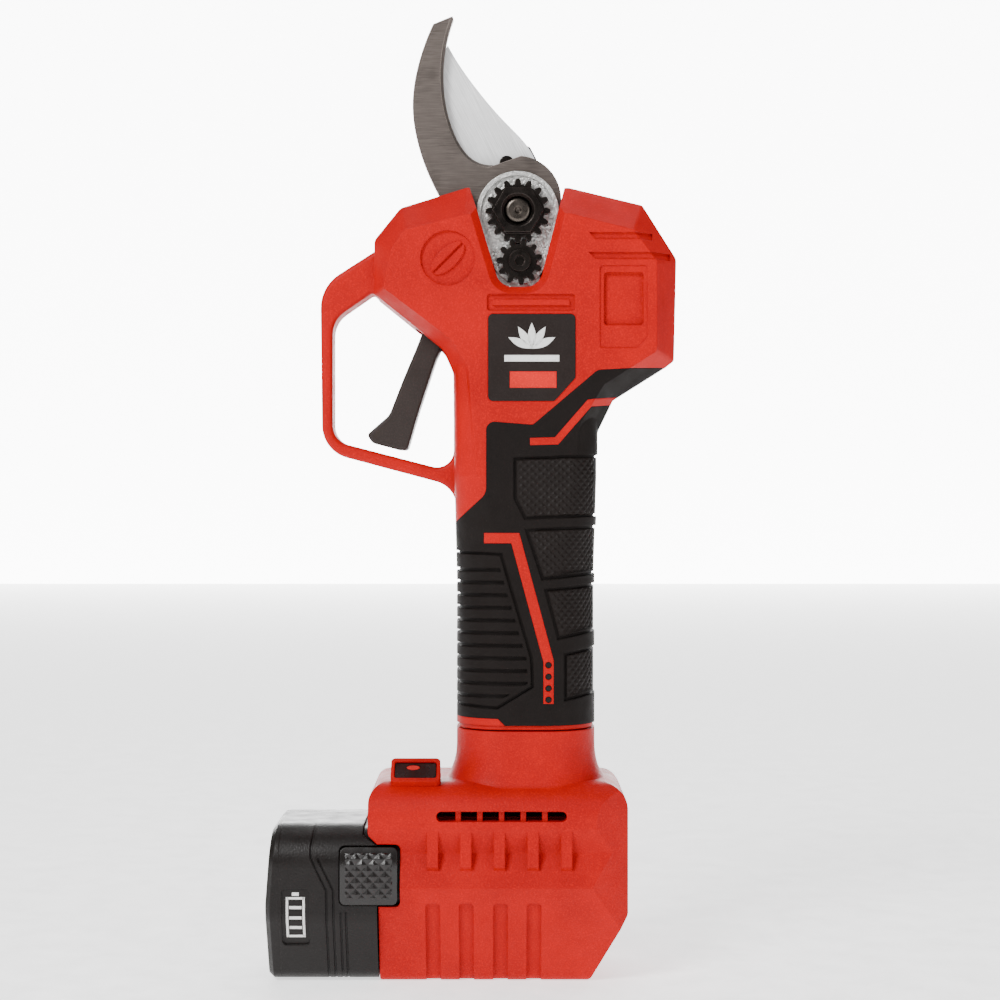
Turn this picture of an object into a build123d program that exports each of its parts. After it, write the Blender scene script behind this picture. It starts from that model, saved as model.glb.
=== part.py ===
from build123d import *

# Battery electric pruner: curved hook, swinging blade, bevel and planetary drive, 12 V battery.
# Millimetres. +Z runs up the grip to the blades and -Y is the front. The base's flat underside
# lies in Z = 0, and the grip's own axis is the Z axis.

import math
import os

os.makedirs("parts", exist_ok=True)

# ---------------------------------------------------------------- driving dimensions
FRONT = Plane.XZ  # sketches on it read (x, z), and extrude towards the front
CLEAR = 0.3  # gap between pieces that move past each other
FIT = 0.05  # radial clearance of a shaft in its bearing
SPAN = 120.0  # a length past every side of the object, for through cuts
BEYOND = 60.0  # a coordinate past the sides, for outlines that are cut off by a body
BELOW = -5.0  # a height under the base, for the same use

# Head, a flat block with bevelled borders
HEAD_HALF = 20.0
HEAD_SHOULDER = 11.5
WALL = 2.8
HEAD_EDGE = [
    (-17.5, 233.0, 1.0),
    (-37.0, 227.0, 3.0),
    (-44.7, 217.5, 3.0),
    (-44.7, 201.8, 1.5),
    (-24.4, 185.4, 6.0),
    (-21.4, 178.5, 6.0),
    (-21.1, 148.0, 0.0),
    (21.1, 148.0, 0.0),
    (20.9, 160.5, 6.0),
    (25.8, 170.6, 3.0),
    (43.6, 181.8, 1.5),
    (44.3, 212.0, 3.0),
    (34.3, 227.8, 1.5),
    (12.7, 233.0, 1.0),
]
HEAD_FACE = [
    (-17.8, 224.0, 1.0),
    (-35.8, 219.4, 3.0),
    (-39.5, 213.5, 3.0),
    (-41.6, 202.8, 1.5),
    (-21.6, 187.6, 6.0),
    (-16.8, 179.5, 6.0),
    (-14.5, 148.0, 0.0),
    (14.5, 148.0, 0.0),
    (15.2, 162.5, 6.0),
    (22.6, 174.6, 3.0),
    (38.0, 184.4, 1.5),
    (38.0, 210.6, 3.0),
    (31.2, 219.6, 1.5),
    (12.7, 224.3, 1.0),
]

# Notch that shows the cutter seat, and the slot that the blades pass through
NOTCH = [(-17.5, 236.0, 0.0), (-7.7, 203.2, 5.0), (3.7, 203.2, 5.0), (12.1, 236.0, 0.0)]
NOTCH_WALL = 2.4
NOTCH_BEVEL = 2.2
SLOT_LEFT = -25.4
SLOT_RIGHT = 18.5
SLOT_BOTTOM = 210.0
SLOT_TOP = 240.0
SLOT_FRONT = 4.6
SLOT_BACK = 10.0

# Finger guard
GUARD_HALF = 6.5
GUARD_ROUND = 1.4
GUARD_OUTER = [
    (-38.0, 219.4, 0.0),
    (-61.1, 204.6, 12.0),
    (-60.5, 155.5, 10.0),
    (-22.3, 145.3, 8.0),
    (-18.0, 132.0, 0.0),
    (-12.0, 132.0, 0.0),
    (-12.0, 200.0, 0.0),
]
FINGER_GAP = [
    (-45.6, 202.6, 1.0),
    (-57.4, 194.4, 8.0),
    (-57.4, 158.6, 6.0),
    (-21.4, 149.3, 5.0),
    (-21.4, 178.5, 6.0),
    (-24.4, 185.4, 6.0),
]

# Grip column, and the rubber sleeve over it
GRIP_WIDE = 41.0
GRIP_DEEP = 38.0
GRIP_ROUND = 15.0
GRIP_STRAIGHT = 118.0
GRIP_SHOULDER = 148.0
GRIP_TOP = 186.0
NECK_WIDE = 42.2
NECK_DEEP = 40.0
NECK_ROUND = 8.5
SLEEVE_THICK = 2.0
SLEEVE_BOTTOM = 75.2
SLEEVE_STEP = 77.2
GRIP_WALL = 2.2
SEAM_Z = 73.5
SEAM_GAP = 0.4
SEAM_INSET = 0.7
SLEEVE_REGION = [
    (BEYOND, 181.0, 0.0),
    (20.8, 178.9, 3.0),
    (1.9, 162.9, 1.5),
    (-11.7, 164.0, 2.5),
    (-11.7, 142.8, 4.0),
    (-30.0, 126.0, 0.0),
    (-30.0, SLEEVE_STEP, 0.0),
    (-8.3, SLEEVE_STEP, 0.0),
    (-6.3, SLEEVE_BOTTOM, 0.0),
    (BEYOND, SLEEVE_BOTTOM, 0.0),
]
SWOOSH = [(1.1, 158.0), (8.8, 158.2), (18.4, 169.2), (30.0, 170.6)]
SWOOSH_WIDE = 2.1
STRIPE = [(-12.3, 129.9), (-3.2, 129.9), (6.5, 94.0), (6.5, 81.6)]
STRIPE_WIDE = 3.0
STRIPE_DEPTH = 10.0
LED_SPOTS = [(STRIPE[-1][0], height) for height in (92.9, 89.5, 86.1, 82.8)]
LED_RADIUS = 0.95
GROOVE_DEEP = 0.9
GROOVE_WIDE = 0.9
PAD_DEEP = 0.35
PAD_RIGHT = 30.0
PADS = [
    [(-3.3, 153.0), (PAD_RIGHT, 154.3), (PAD_RIGHT, 137.0), (-0.3, 135.7), (-3.3, 141.7)],
    [(0.1, 132.2), (PAD_RIGHT, 133.6), (PAD_RIGHT, 120.5), (4.8, 118.0)],
    [(5.7, 114.7), (PAD_RIGHT, 117.0), (PAD_RIGHT, 104.4), (9.4, 100.7)],
    [(11.4, 95.9), (PAD_RIGHT, 99.3), (PAD_RIGHT, 86.3), (11.4, 82.7)],
]
RIB_PANEL = [
    (-30.0, 126.6),
    (-7.0, 125.6),
    (2.0, 95.0),
    (2.3, 86.4),
    (-8.4, 79.9),
    (-30.0, 81.2),
]
RIB_COUNT = 11
RIB_TOP = 120.6
RIB_PITCH = 3.68
RIB_WIDE = 1.15
RIB_MARGIN = 1.9
RIB_ROW = 80.0

# Marks on the head: a disc, a plain bar, a badge, a framed pocket and two grooves
MARK_DEEP = 0.8
DISC_AT = (-22.8, 211.4)
DISC_RADIUS = 8.0
LEAF_LONG = 6.2
LEAF_WIDE = 2.9
LEAF_VEIN = 0.8
LEAF_PROUD = 0.6
BAR = (1.4, 198.5, 25.6, 4.9)
BAR_BORDER = 1.6
BAR_ROUND = 0.3
BADGE = [
    (-11.1, 195.1, 1.4),
    (14.3, 195.1, 1.4),
    (14.3, 176.6, 1.0),
    (8.2, 169.8, 1.0),
    (-11.1, 169.8, 1.4),
]
BADGE_THICK = 1.0
FRAME_MARK = [
    (21.4, 209.3, 1.0),
    (35.4, 209.3, 1.0),
    (35.4, 188.4, 1.0),
    (32.4, 185.2, 1.0),
    (21.4, 185.2, 1.0),
]
POCKET = (28.4, 199.6, 11.6, 15.4)
POCKET_DEEP = 1.7
POCKET_ROUND = 1.0
GROOVES = [(218.9, 37.0), (213.1, 42.2)]
GROOVE_LEFT = 18.2
GROOVE_TALL = 2.0

# Cutter: everything on the pivot is laid out from the front (-Y) to the back
PIVOT_X = -2.4
PIVOT_Z = 226.0
PIVOT = (PIVOT_X, PIVOT_Z)
BOLT_RADIUS = 4.0
NUT_FRONT = -16.0
FLANGE_FRONT = -13.2
FLANGE_BACK = -10.9
PLATE_FRONT = -10.0
PLATE_BACK = -4.1
HOOK_FRONT = -4.05
HOOK_BACK = -0.05
BLADE_FRONT = 0.05
BLADE_BACK = 3.05
SECTOR_FRONT = 3.2
SECTOR_BACK = 9.0
BACK_PLATE_FRONT = 9.5
BACK_PLATE_BACK = 14.0
BOLT_HEAD_BACK = 18.0
SEAT_BIG_RADIUS = 12.1
SEAT_SMALL_RADIUS = 8.0
SEAT_RIM = 0.8
SEAT_RIM_WIDE = 1.3
NUT_TEETH = 16
LOCK_TEETH = 11
NUT_MODULE = 1.1
LOCK_DISTANCE = NUT_MODULE * (NUT_TEETH + LOCK_TEETH) / 2
LOCK_X = -1.9
LOCK_Z = PIVOT_Z - math.sqrt(LOCK_DISTANCE**2 - (LOCK_X - PIVOT_X) ** 2)
HUB_RADIUS = 9.2
HOOK_HUB_RADIUS = 17.4
POSTS = [(-22.6, 220.4), (-22.0, 211.6)]
POST_RADIUS = 3.2
SCREW_RADIUS = 2.0
DRIVE_PIN = (-5.6, 242.1)
DRIVE_PIN_RADIUS = 2.2
BOLT_HEX = 6.5
BOLT_SUNK = 0.6
BOLT_ROUND = 1.5
BOLT_DIMPLE = 1.1
DIMPLE_DEEP = 0.6
NUT_CHAMFER = 0.8
SEAT_WEB_WIDE = 13.0
SEAT_WEB_TALL = 18.0
SEAT_WEB_Z = 205.0
SEAT_ARM = [
    (-25.4, 223.2, 3.0),
    (-6.0, 223.2, 3.0),
    (-6.0, 206.0, 3.0),
    (-25.4, 208.2, 3.0),
]
PINION_POCKET = 6.2
LOCK_SCREW_IN = 6.5
LOCK_HEAD = 3.2
LOCK_HEAD_TALL = 2.4
LOCK_SCREW_DEEP = 3.5
NUT_ADDENDUM = 0.7
NUT_DEDENDUM = 1.0
NUT_BACKLASH = 0.08
LOCK_LEAN = math.degrees(math.atan2(LOCK_X - PIVOT_X, PIVOT_Z - LOCK_Z))
LOCK_TURN = LOCK_LEAN * (1 + NUT_TEETH / LOCK_TEETH) - 180.0 / LOCK_TEETH

# Outlines of the two blades: each curve runs from the tip towards the pivot
HOOK_TIP = (-21.8, 285.3)
HOOK_BACK_CURVE = [(-27.6, 282.9), (-32.3, 269.6), (-33.7, 258.5), (-31.1, 243.8), (-24.9, 230.2)]
HOOK_INNER_CURVE = [(-21.5, 284.6), (-24.0, 275.0), (-24.4, 263.5), (-21.8, 251.6), (-16.2, 243.0), (-8.8, 241.0)]
HOOK_HUB_ARC = [(-1.4, 243.6), (7.0, 239.6), (10.6, 230.4)]
HOOK_TAIL = [(-24.9, 208.6), (-12.2, 208.6), (-11.0, 217.3), (8.4, 217.3)]
HOOK_BEVEL = 0.9
HOOK_SCREW_HEAD = 2.4
BLADE_SPINE = [(-23.3, 277.4), (-14.6, 264.2), (-5.6, 253.8), (0.8, 246.8), (3.8, 240.0)]
BLADE_EDGE = [(-23.3, 277.4), (-27.3, 262.0), (-25.2, 249.8), (-18.6, 240.2), (-13.0, 236.0)]
BLADE_HUB_RIGHT = (6.0, 228.0)
BLADE_HUB_LEFT = (-10.6, 228.0)

# Bevel pair: its apex is on the pivot axis, in the plane Y = 0
BEVEL_MODULE = 1.0
BEVEL_TEETH = 30
PINION_TEETH = 10
BEVEL_ANGLE = 25.0
BEVEL_FACE = 5.0
BEVEL_ADDENDUM = 0.7
BEVEL_DEDENDUM = 0.95
BEVEL_BACKLASH = 0.14
BEVEL_ROOT_SINK = 0.25
BEVEL_CONE = BEVEL_MODULE * math.hypot(BEVEL_TEETH, PINION_TEETH) / 2
SECTOR_FROM = -2
SECTOR_TO = 6
SECTOR_HUB = 8.4
SECTOR_ARM = [
    (-10.4, 226.0, 0.0),
    (-9.4, 240.5, 4.0),
    (-6.6, 246.4, 3.0),
    (1.2, 247.8, 1.2),
    (3.4, 243.6, 2.0),
    (5.6, 226.0, 0.0),
]
PINION_SHAFT = 3.0
SHAFT_END = 168.3

# Gearbox and motor, on the pinion's axis
TUBE_RADIUS = 10.5
TUBE_BORE = 8.0
TUBE_TOP = PIVOT_Z - 18.3
TUBE_BOTTOM = PIVOT_Z - 40.0
BEARING_TALL = 5.0
CASE_RADIUS = 12.5
CASE_WALL = 1.4
CASE_BOTTOM = 157.0
PLANET_MODULE = 0.5
SUN_TEETH = 12
PLANET_TEETH = 15
RING_TEETH = 42
PLANET_COUNT = 3
PLANET_ADDENDUM = 0.4
PLANET_DEDENDUM = 0.55
PLANET_BACKLASH = 0.05
GEAR_ANGLE = 25.0
PLANET_BOTTOM = 160.5
PLANET_TOP = 167.5
CARRIER_TOP = 171.5
PLANET_PIN = 1.0
CRADLES = [(126.0, 12.6), (150.0, 12.6), (172.0, 12.6), (192.0, 10.6)]
CRADLE_THICK = 2.0
MOTOR_BOTTOM = 117.0
ROTOR_RADIUS = 9.0
ROTOR_BOTTOM = 122.0
ROTOR_TOP = 150.0
MAGNET_GAP = 3.0
MOTOR_SHAFT = 1.25

# Trigger
TRIGGER_AXIS = (-24.75, 197.4)
TRIGGER_HALF = 6.0
TRIGGER_PIN = 1.5
TRIGGER_PIN_GRIP = 4.0
TRIGGER_BOSS = 3.6
TRIGGER_ROUND = 0.8
SPRING_ROOM = 3.4
SPRING_HALF = 2.2
SPRING_RADIUS = 2.5
SPRING_WIRE = 0.6
SPRING_PITCH = 0.8
SWITCH = (-35.5, 205.3, 6.0, 7.0)
SWITCH_HALF = 4.5
PLUNGER_RADIUS = 0.9
PLUNGER_LONG = 3.4
TRIGGER = [
    (-28.6, 199.5, 2.0),
    (-30.6, 191.2, 1.0),
    (-32.6, 186.0, 4.0),
    (-36.4, 177.0, 8.0),
    (-40.6, 166.2, 6.0),
    (-47.3, 160.4, 1.2),
    (-45.6, 158.0, 1.5),
    (-38.0, 156.0, 3.0),
    (-35.2, 155.8, 1.4),
    (-31.6, 168.0, 8.0),
    (-26.6, 183.0, 6.0),
    (-21.4, 194.6, 3.0),
    (-22.0, 206.0, 1.5),
    (-26.4, 206.0, 1.5),
]
TRIGGER_SLOT = (-26.2, 190.3, 13.2, 32.0)

# Base, the foot that takes the battery
BASE_TOP = 58.8
BASE_OUTLINE = [
    (-45.8, BASE_TOP, 5.5),
    (29.6, BASE_TOP, 8.0),
    (29.6, 20.4, 3.0),
    (18.5, 0.0, 2.0),
    (-42.8, 0.0, 1.0),
    (-42.8, 41.0, 2.0),
    (-45.8, 44.2, 2.0),
]
BASE_SECTION = [
    (25.2, BASE_TOP, 10.0),
    (25.4, 45.9, 1.0),
    (22.6, 38.9, 1.0),
    (26.2, 29.2, 1.2),
    (14.5, 0.0, 3.0),
]
BASE_PLAN = [(27.0, -60.0, 0.0), (27.0, 17.6, 2.0), (17.0, 34.0, 0.0)]
BASE_RIB_X = [-27.1, -17.5, -7.8, 1.9, 11.6]
BASE_RIB_WIDE = 3.2
BASE_GROOVE_X = [-27.1, -17.4, -7.5, 2.2]
BASE_GROOVE_WIDE = 4.2
BASE_GROOVE_TOP = 24.5
BASE_GROOVE_DEEP = 1.2
BASE_GROOVE_ROUND = 1.2
VENT = (-7.2, 49.6, 37.6, 2.9)
VENT_ROUND = 1.35
VENT_HOLES = 6
VENT_BRIDGE = 1.6
SOCKET_END = 20.5
SOCKET_CLEAR = 0.5
LATCH_NOTCH = (-41.4, 32.4, 9.8, 18.0)
CHAMBER = (-8.0, 52.2, 58.0, 7.2)

FLARE_WIDE = 6.4
FLARE_DEEP = 2.4
FLARE_TALL = 13.0
FLARE_STEPS = 8
FLARE_SINK = 2.5
NECK_INSET = 6.3
NECK_BORE_ROUND = 6.0
COLLAR_INSET = 4.3
COLLAR_RISE = 6.0
BASE_RIB = [(25.2, 45.6, 0.0), (25.6, 35.2, 1.0), (23.4, 32.6, 0.0)]
CHAMBER_HALF = 19.0
VENT_SINK = 1.5
TERMINAL_Z = 33.0
TERMINAL_PITCH = 8.0
TERMINAL_TALL = 6.0
TERMINAL_SINK = 3.5
PLAN = Plane(origin=(0, 0, 0), x_dir=(0, 1, 0), z_dir=(0, 0, -1))
PANEL = Plane(origin=(-32.3, -16.8, 61.2), x_dir=(1, 0, 0), z_dir=(0, -0.62, 0.785))
PANEL_WIDE = 14.4
PANEL_TALL = 9.4
PANEL_SINK = 6.0
PANEL_PROUD = 1.4
PANEL_ROUND = 1.4
BUTTON_WIDE = 12.0
BUTTON_TALL = 6.4
BUTTON_ROUND = 0.8
BUTTON_THICK = 2.4
BUTTON_SUNK = 0.4
BUTTON_TRAVEL = 0.8

# Battery pack
PACK_LEFT = -75.6
PACK_JOIN = -71.6
PACK_SHOULDER = -43.2
TONGUE_END = 19.8
PACK_SECTION = [(24.4, 46.2, 11.4), (24.4, 20.0, 6.0), (15.0, 0.6, 5.0)]
TONGUE_SECTION = [(20.0, 45.0, 7.0), (20.0, 24.0, 3.0), (11.5, 4.6, 4.0)]
CASE_SKIN = 1.4
CELL_RADIUS = 9.15
CELL_LONG = 65.0
CELL_LEFT = -58.0
CELLS = [(-9.3, 34.2), (9.3, 34.2), (0.0, 18.0)]
LATCH_AT = (-45.6, 32.4)
LATCH_SIZE = (16.6, 16.4)
LATCH_PROUD = 0.9
LATCH_ROOT = 1.6
LATCH_TRAVEL = 1.0
LATCH_ROUND = 1.6
PACK_SEAM = [(-60.8, 50.9), (-62.3, 40.5), (-62.3, 37.6), (-57.8, 28.3), (-57.6, BELOW)]
PACK_SEAM_GAP = 2.0
PACK_LINES = [-53.6, -52.1]
PACK_LINE_TOP = 22.0
PACK_LINE_WIDE = 0.7
PACK_LINE_DEEP = 0.6
LABEL = (-66.8, 20.2, 8.1, 17.2)
LABEL_ROUND = 1.4
CAP_CHAMFER = 1.4
TONGUE_ROOT = 4.5
HOOD_CUT = [(-47.5, 43.4), (-47.5, BEYOND), (-40.0, BEYOND), (-40.0, 41.0), (PACK_SHOULDER, 41.0)]
CONTACT_WIDE = 4.0
CELL_BUTTON = 1.0
CELL_ROUND = 0.6
STRAP_THICK = 0.3
STRAP_WIDE = 7.0
PACK_BOARD_X = 12.0
PACK_BOARD = (28.0, 14.0)

# Fasteners: three in the head and one low in the grip, then four in the base
HEAD_SCREWS = [(-37.4, 213.6), (27.4, 215.6), (36.0, 190.0)]
GRIP_SCREW = (0.0, 84.5)
BASE_SCREWS = [(-37.6, 52.0), (23.6, 51.2), (24.6, 38.0), (24.0, 20.0)]
BOSS_RADIUS = 4.2
HOLE_RADIUS = 1.5
SCREW_HEAD = 2.7
SCREW_SINK = 11.0
SCREW_HEAD_TALL = 2.2
SCREW_DEEP = 14.0
CROSS_LONG = 3.0
CROSS_WIDE = 0.7

# Electronics and leads
BOARD = (0.0, 102.0, 22.0, 20.0)
BOARD_BACK = 7.6
BOARD_THICK = 1.6
BOARD_TOP_EDGE = BOARD[1] + BOARD[3] / 2
BOARD_BOTTOM_EDGE = BOARD[1] - BOARD[3] / 2
CHIP_TALL = 2.5
LEAD_RADIUS = 0.8
LEAD_X = [-6.5, 6.5]
LEAD_Y = 6.8
LEAD_RUN_Z = 55.0
LEAD_END_X = 21.0
LEAD_BEND = 4.0


# ---------------------------------------------------------------- shared shapes
def outline(corners):
    """A face in the open sketch, from corners of two coordinates and a radius."""
    points = [(corner[0], corner[1]) for corner in corners]
    with BuildLine() as border:
        FilletPolyline(*points, radius=[corner[2] for corner in corners], close=True)
    make_face(border.edges())


def both_sides(half):
    """A half section's corners and their mirror images, in order round the section."""
    return half + [(-y, z, radius) for y, z, radius in reversed(half)]


def band(points, wide, close=False, mode=Mode.ADD):
    """A strip of even width along a line of points, in the open sketch."""
    with BuildLine() as path:
        Polyline(*points, close=close)
    trace(path.edges(), line_width=wide, mode=mode)


def head_block(inset):
    """The head's block, drawn in by an inset from every side."""
    with BuildPart() as block:
        with BuildSketch(FRONT):
            outline(HEAD_EDGE)
            offset(amount=-inset, kind=Kind.INTERSECTION, mode=Mode.REPLACE)
        extrude(amount=HEAD_SHOULDER - inset / 2, both=True)
        with BuildSketch(FRONT.offset(HEAD_SHOULDER - inset / 2)):
            outline(HEAD_EDGE)
            offset(amount=-inset, kind=Kind.INTERSECTION, mode=Mode.REPLACE)
        with BuildSketch(FRONT.offset(HEAD_HALF - inset)):
            outline(HEAD_FACE)
            offset(amount=-inset, kind=Kind.INTERSECTION, mode=Mode.REPLACE)
        loft(ruled=True)
        mirror(about=FRONT)
    return block.part


def grip_column(inset, bottom):
    """The grip's rounded column, drawn in by an inset. It grows squarer where it meets the head."""
    with BuildPart() as column:
        with BuildSketch(Plane.XY.offset(bottom)):
            RectangleRounded(GRIP_WIDE - 2 * inset, GRIP_DEEP - 2 * inset, GRIP_ROUND - inset)
        extrude(amount=GRIP_STRAIGHT - bottom)
        with BuildSketch(Plane.XY.offset(GRIP_STRAIGHT)):
            RectangleRounded(GRIP_WIDE - 2 * inset, GRIP_DEEP - 2 * inset, GRIP_ROUND - inset)
        with BuildSketch(Plane.XY.offset(GRIP_SHOULDER)):
            RectangleRounded(NECK_WIDE - 2 * inset, NECK_DEEP - 2 * inset, NECK_ROUND - inset)
        loft(ruled=True)
        with BuildSketch(Plane.XY.offset(GRIP_SHOULDER)):
            RectangleRounded(NECK_WIDE - 2 * inset, NECK_DEEP - 2 * inset, NECK_ROUND - inset)
        extrude(amount=GRIP_TOP - GRIP_SHOULDER)
    return column.part


def half(whole, front):
    """The front or the rear half of a solid, split at Y = 0."""
    with BuildPart() as piece:
        add(whole)
        split(bisect_by=FRONT, keep=Keep.TOP if front else Keep.BOTTOM)
    return piece.part


def flank_half_angle(radius, pitch_radius, teeth, pressure, thin):
    """Half of the angle that an involute tooth takes at a radius, thinned by a backlash."""
    base = pitch_radius * math.cos(math.radians(pressure))
    at_pitch = math.radians(pressure)
    here = math.acos(min(1.0, base / radius))
    swept = math.tan(at_pitch) - at_pitch - (math.tan(here) - here)
    return math.pi / (2 * teeth) + swept - thin / pitch_radius


def tooth_points(pitch_radius, teeth, pressure, inner, outer, thin, steps=4):
    """Corners of one tooth, which points along +Y from a centre at the origin."""
    base = pitch_radius * math.cos(math.radians(pressure))
    rights = []
    for step in range(steps + 1):
        radius = inner + (outer - inner) * step / steps
        angle = flank_half_angle(max(radius, base), pitch_radius, teeth, pressure, thin)
        rights.append((radius * math.sin(angle), radius * math.cos(angle)))
    lefts = [(-x, y) for x, y in reversed(rights)]
    return rights + lefts


def spur_sketch(module, teeth, pressure, addendum, dedendum, thin, turn=0.0):
    """A spur gear's face in the open sketch, with its first tooth turned from +Y."""
    pitch_radius = module * teeth / 2
    root = pitch_radius - dedendum
    points = tooth_points(pitch_radius, teeth, pressure, root - 0.1, pitch_radius + addendum, thin)
    Circle(root)
    with PolarLocations(0, teeth, start_angle=turn):
        Polygon(*points, align=None)


def finish(piece, name):
    """Label a finished piece and write it."""
    piece.part.label = name
    export_step(piece.part, f"parts/{name}.step")


# ---------------------------------------------------------------- upper housing
def guard_loop():
    """The finger guard, a rounded loop in front of the trigger."""
    with BuildPart() as loop:
        with BuildSketch(FRONT):
            outline(GUARD_OUTER)
        extrude(amount=GUARD_HALF, both=True)
        with BuildSketch(FRONT):
            outline(FINGER_GAP)
        extrude(amount=GUARD_HALF, both=True, mode=Mode.SUBTRACT)
        fillet(loop.faces().filter_by(Axis.Y).edges(), GUARD_ROUND)
    return loop.part


def upper_envelope():
    """The whole outer shape of head, guard and grip, solid, with its notch."""
    with BuildPart() as solid:
        add(head_block(0))
        add(grip_column(0, SLEEVE_BOTTOM))
        add(grip_column(SEAM_INSET, SEAM_Z + SEAM_GAP))
        add(guard_loop())
        with BuildSketch(FRONT):
            outline(NOTCH)
        extrude(amount=SPAN, both=True, mode=Mode.SUBTRACT)
        for depth in (HEAD_HALF - NOTCH_BEVEL, NOTCH_BEVEL - HEAD_HALF):
            with BuildSketch(FRONT.offset(depth)):
                outline(NOTCH)
            extrude(amount=math.copysign(2 * NOTCH_BEVEL, depth), taper=-45, mode=Mode.SUBTRACT)
    return solid.part


def notch_walls():
    """The notch's own walls, which stop short of the cutter seat's two plates."""
    with BuildPart() as walls:
        with BuildSketch(FRONT.offset(-PLATE_FRONT + SEAT_RIM)):
            outline(NOTCH)
            offset(amount=NOTCH_WALL, mode=Mode.REPLACE)
        extrude(amount=HEAD_HALF)
        with BuildSketch(FRONT.offset(-BACK_PLATE_BACK - CLEAR)):
            outline(NOTCH)
            offset(amount=NOTCH_WALL, mode=Mode.REPLACE)
        extrude(amount=-HEAD_HALF)
    return walls.part


def upper_cavity():
    """The hollow inside head and grip, with the walls, bosses and pin seats taken from it."""
    with BuildPart() as hollow:
        add(head_block(WALL))
        with BuildSketch(FRONT):
            outline(SLEEVE_REGION)
            offset(amount=GRIP_WALL, mode=Mode.REPLACE)
        extrude(amount=HEAD_HALF, both=True, mode=Mode.SUBTRACT)
        add(grip_column(SLEEVE_THICK + GRIP_WALL, SEAM_Z - 1))
        add(notch_walls(), mode=Mode.SUBTRACT)
        with BuildSketch(FRONT):
            with Locations(*HEAD_SCREWS, GRIP_SCREW):
                Circle(BOSS_RADIUS)
        extrude(amount=HEAD_HALF, both=True, mode=Mode.SUBTRACT)
        with BuildSketch(FRONT.offset(TRIGGER_HALF + CLEAR)):
            with Locations(TRIGGER_AXIS):
                Circle(TRIGGER_BOSS)
        extrude(amount=HEAD_HALF, mode=Mode.SUBTRACT)
        with BuildSketch(FRONT.offset(-TRIGGER_HALF - CLEAR)):
            with Locations(TRIGGER_AXIS):
                Circle(TRIGGER_BOSS)
        extrude(amount=-HEAD_HALF, mode=Mode.SUBTRACT)
        for bottom, radius in CRADLES:
            with BuildSketch(Plane.XY.offset(bottom)):
                Rectangle(SPAN, SPAN)
                with Locations((PIVOT_X, 0)):
                    Circle(radius, mode=Mode.SUBTRACT)
            extrude(amount=CRADLE_THICK, mode=Mode.SUBTRACT)
    return hollow.part


def openings():
    """Everything that is cut through the shells: slot, trigger mouth and holes."""
    with BuildPart() as cuts:
        with BuildSketch(Plane.XZ.offset(SLOT_FRONT)):
            with Locations(((SLOT_LEFT + SLOT_RIGHT) / 2, (SLOT_BOTTOM + SLOT_TOP) / 2)):
                Rectangle(SLOT_RIGHT - SLOT_LEFT, SLOT_TOP - SLOT_BOTTOM)
        extrude(amount=-SLOT_FRONT - SLOT_BACK)
        with BuildSketch(FRONT):
            with Locations(TRIGGER_SLOT[:2]):
                Rectangle(*TRIGGER_SLOT[2:])
        extrude(amount=TRIGGER_HALF + CLEAR, both=True)
        with BuildSketch(FRONT):
            with Locations(TRIGGER_AXIS):
                Circle(TRIGGER_PIN)
        extrude(amount=TRIGGER_HALF + TRIGGER_PIN_GRIP, both=True)
        with BuildSketch(FRONT):
            with Locations(*HEAD_SCREWS, GRIP_SCREW):
                Circle(HOLE_RADIUS)
        extrude(amount=HEAD_HALF - WALL, both=True)
        with BuildSketch(FRONT.offset(-SCREW_SINK)):
            with Locations(*HEAD_SCREWS, GRIP_SCREW):
                Circle(SCREW_HEAD + CLEAR)
        extrude(amount=-HEAD_HALF)
    return cuts.part


def sleeve_prism():
    """The prism that bounds the black region, without the red lines that show through it."""
    with BuildPart() as region:
        with BuildSketch(FRONT):
            outline(SLEEVE_REGION)
            band(SWOOSH, SWOOSH_WIDE, mode=Mode.SUBTRACT)
        extrude(amount=HEAD_HALF + 1, both=True)
        with BuildSketch(FRONT.offset(STRIPE_DEPTH)):
            band(STRIPE, STRIPE_WIDE)
        extrude(amount=HEAD_HALF, mode=Mode.SUBTRACT)
    return region.part


def rib_panel(inset):
    """The ribbed panel's outline on the left of the grip, in the open sketch."""
    Polygon(*RIB_PANEL, align=None)
    offset(amount=-inset, mode=Mode.REPLACE)


def sleeve_grooves():
    """Grooves round the pads and the ribbed panel, and the ribs' own grooves."""
    skin = grip_column(GROOVE_DEEP, SEAM_Z)
    shallow = grip_column(PAD_DEEP, SEAM_Z)
    with BuildPart() as cuts:
        with BuildSketch(FRONT):
            rib_panel(0)
            offset(amount=-GROOVE_WIDE, mode=Mode.SUBTRACT)
        extrude(amount=HEAD_HALF + 1, both=True)
        with BuildSketch(FRONT):
            for row in range(RIB_COUNT):
                with Locations((RIB_PANEL[0][0], RIB_TOP - row * RIB_PITCH)):
                    Rectangle(RIB_ROW, RIB_WIDE)
            with BuildSketch(mode=Mode.INTERSECT):
                rib_panel(RIB_MARGIN)
        extrude(amount=HEAD_HALF + 1, both=True)
        with BuildSketch(FRONT):
            for pad in PADS:
                band(pad, GROOVE_WIDE, close=True)
        extrude(amount=HEAD_HALF + 1, both=True)
        add(skin, mode=Mode.SUBTRACT)
    with BuildPart() as pads:
        with BuildSketch(FRONT):
            for pad in PADS:
                Polygon(*pad, align=None)
        extrude(amount=HEAD_HALF + 1, both=True)
        add(shallow, mode=Mode.SUBTRACT)
        add(cuts.part)
    return pads.part


ENVELOPE = upper_envelope()
CAVITY = upper_cavity()
OPENINGS = openings()
CORE = grip_column(SLEEVE_THICK, SEAM_Z)


def front_mark(depth):
    """The outer skin of the head's front, down to a depth: what a shallow mark is cut from."""
    return ENVELOPE - Pos(0, depth, 0) * ENVELOPE


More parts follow.
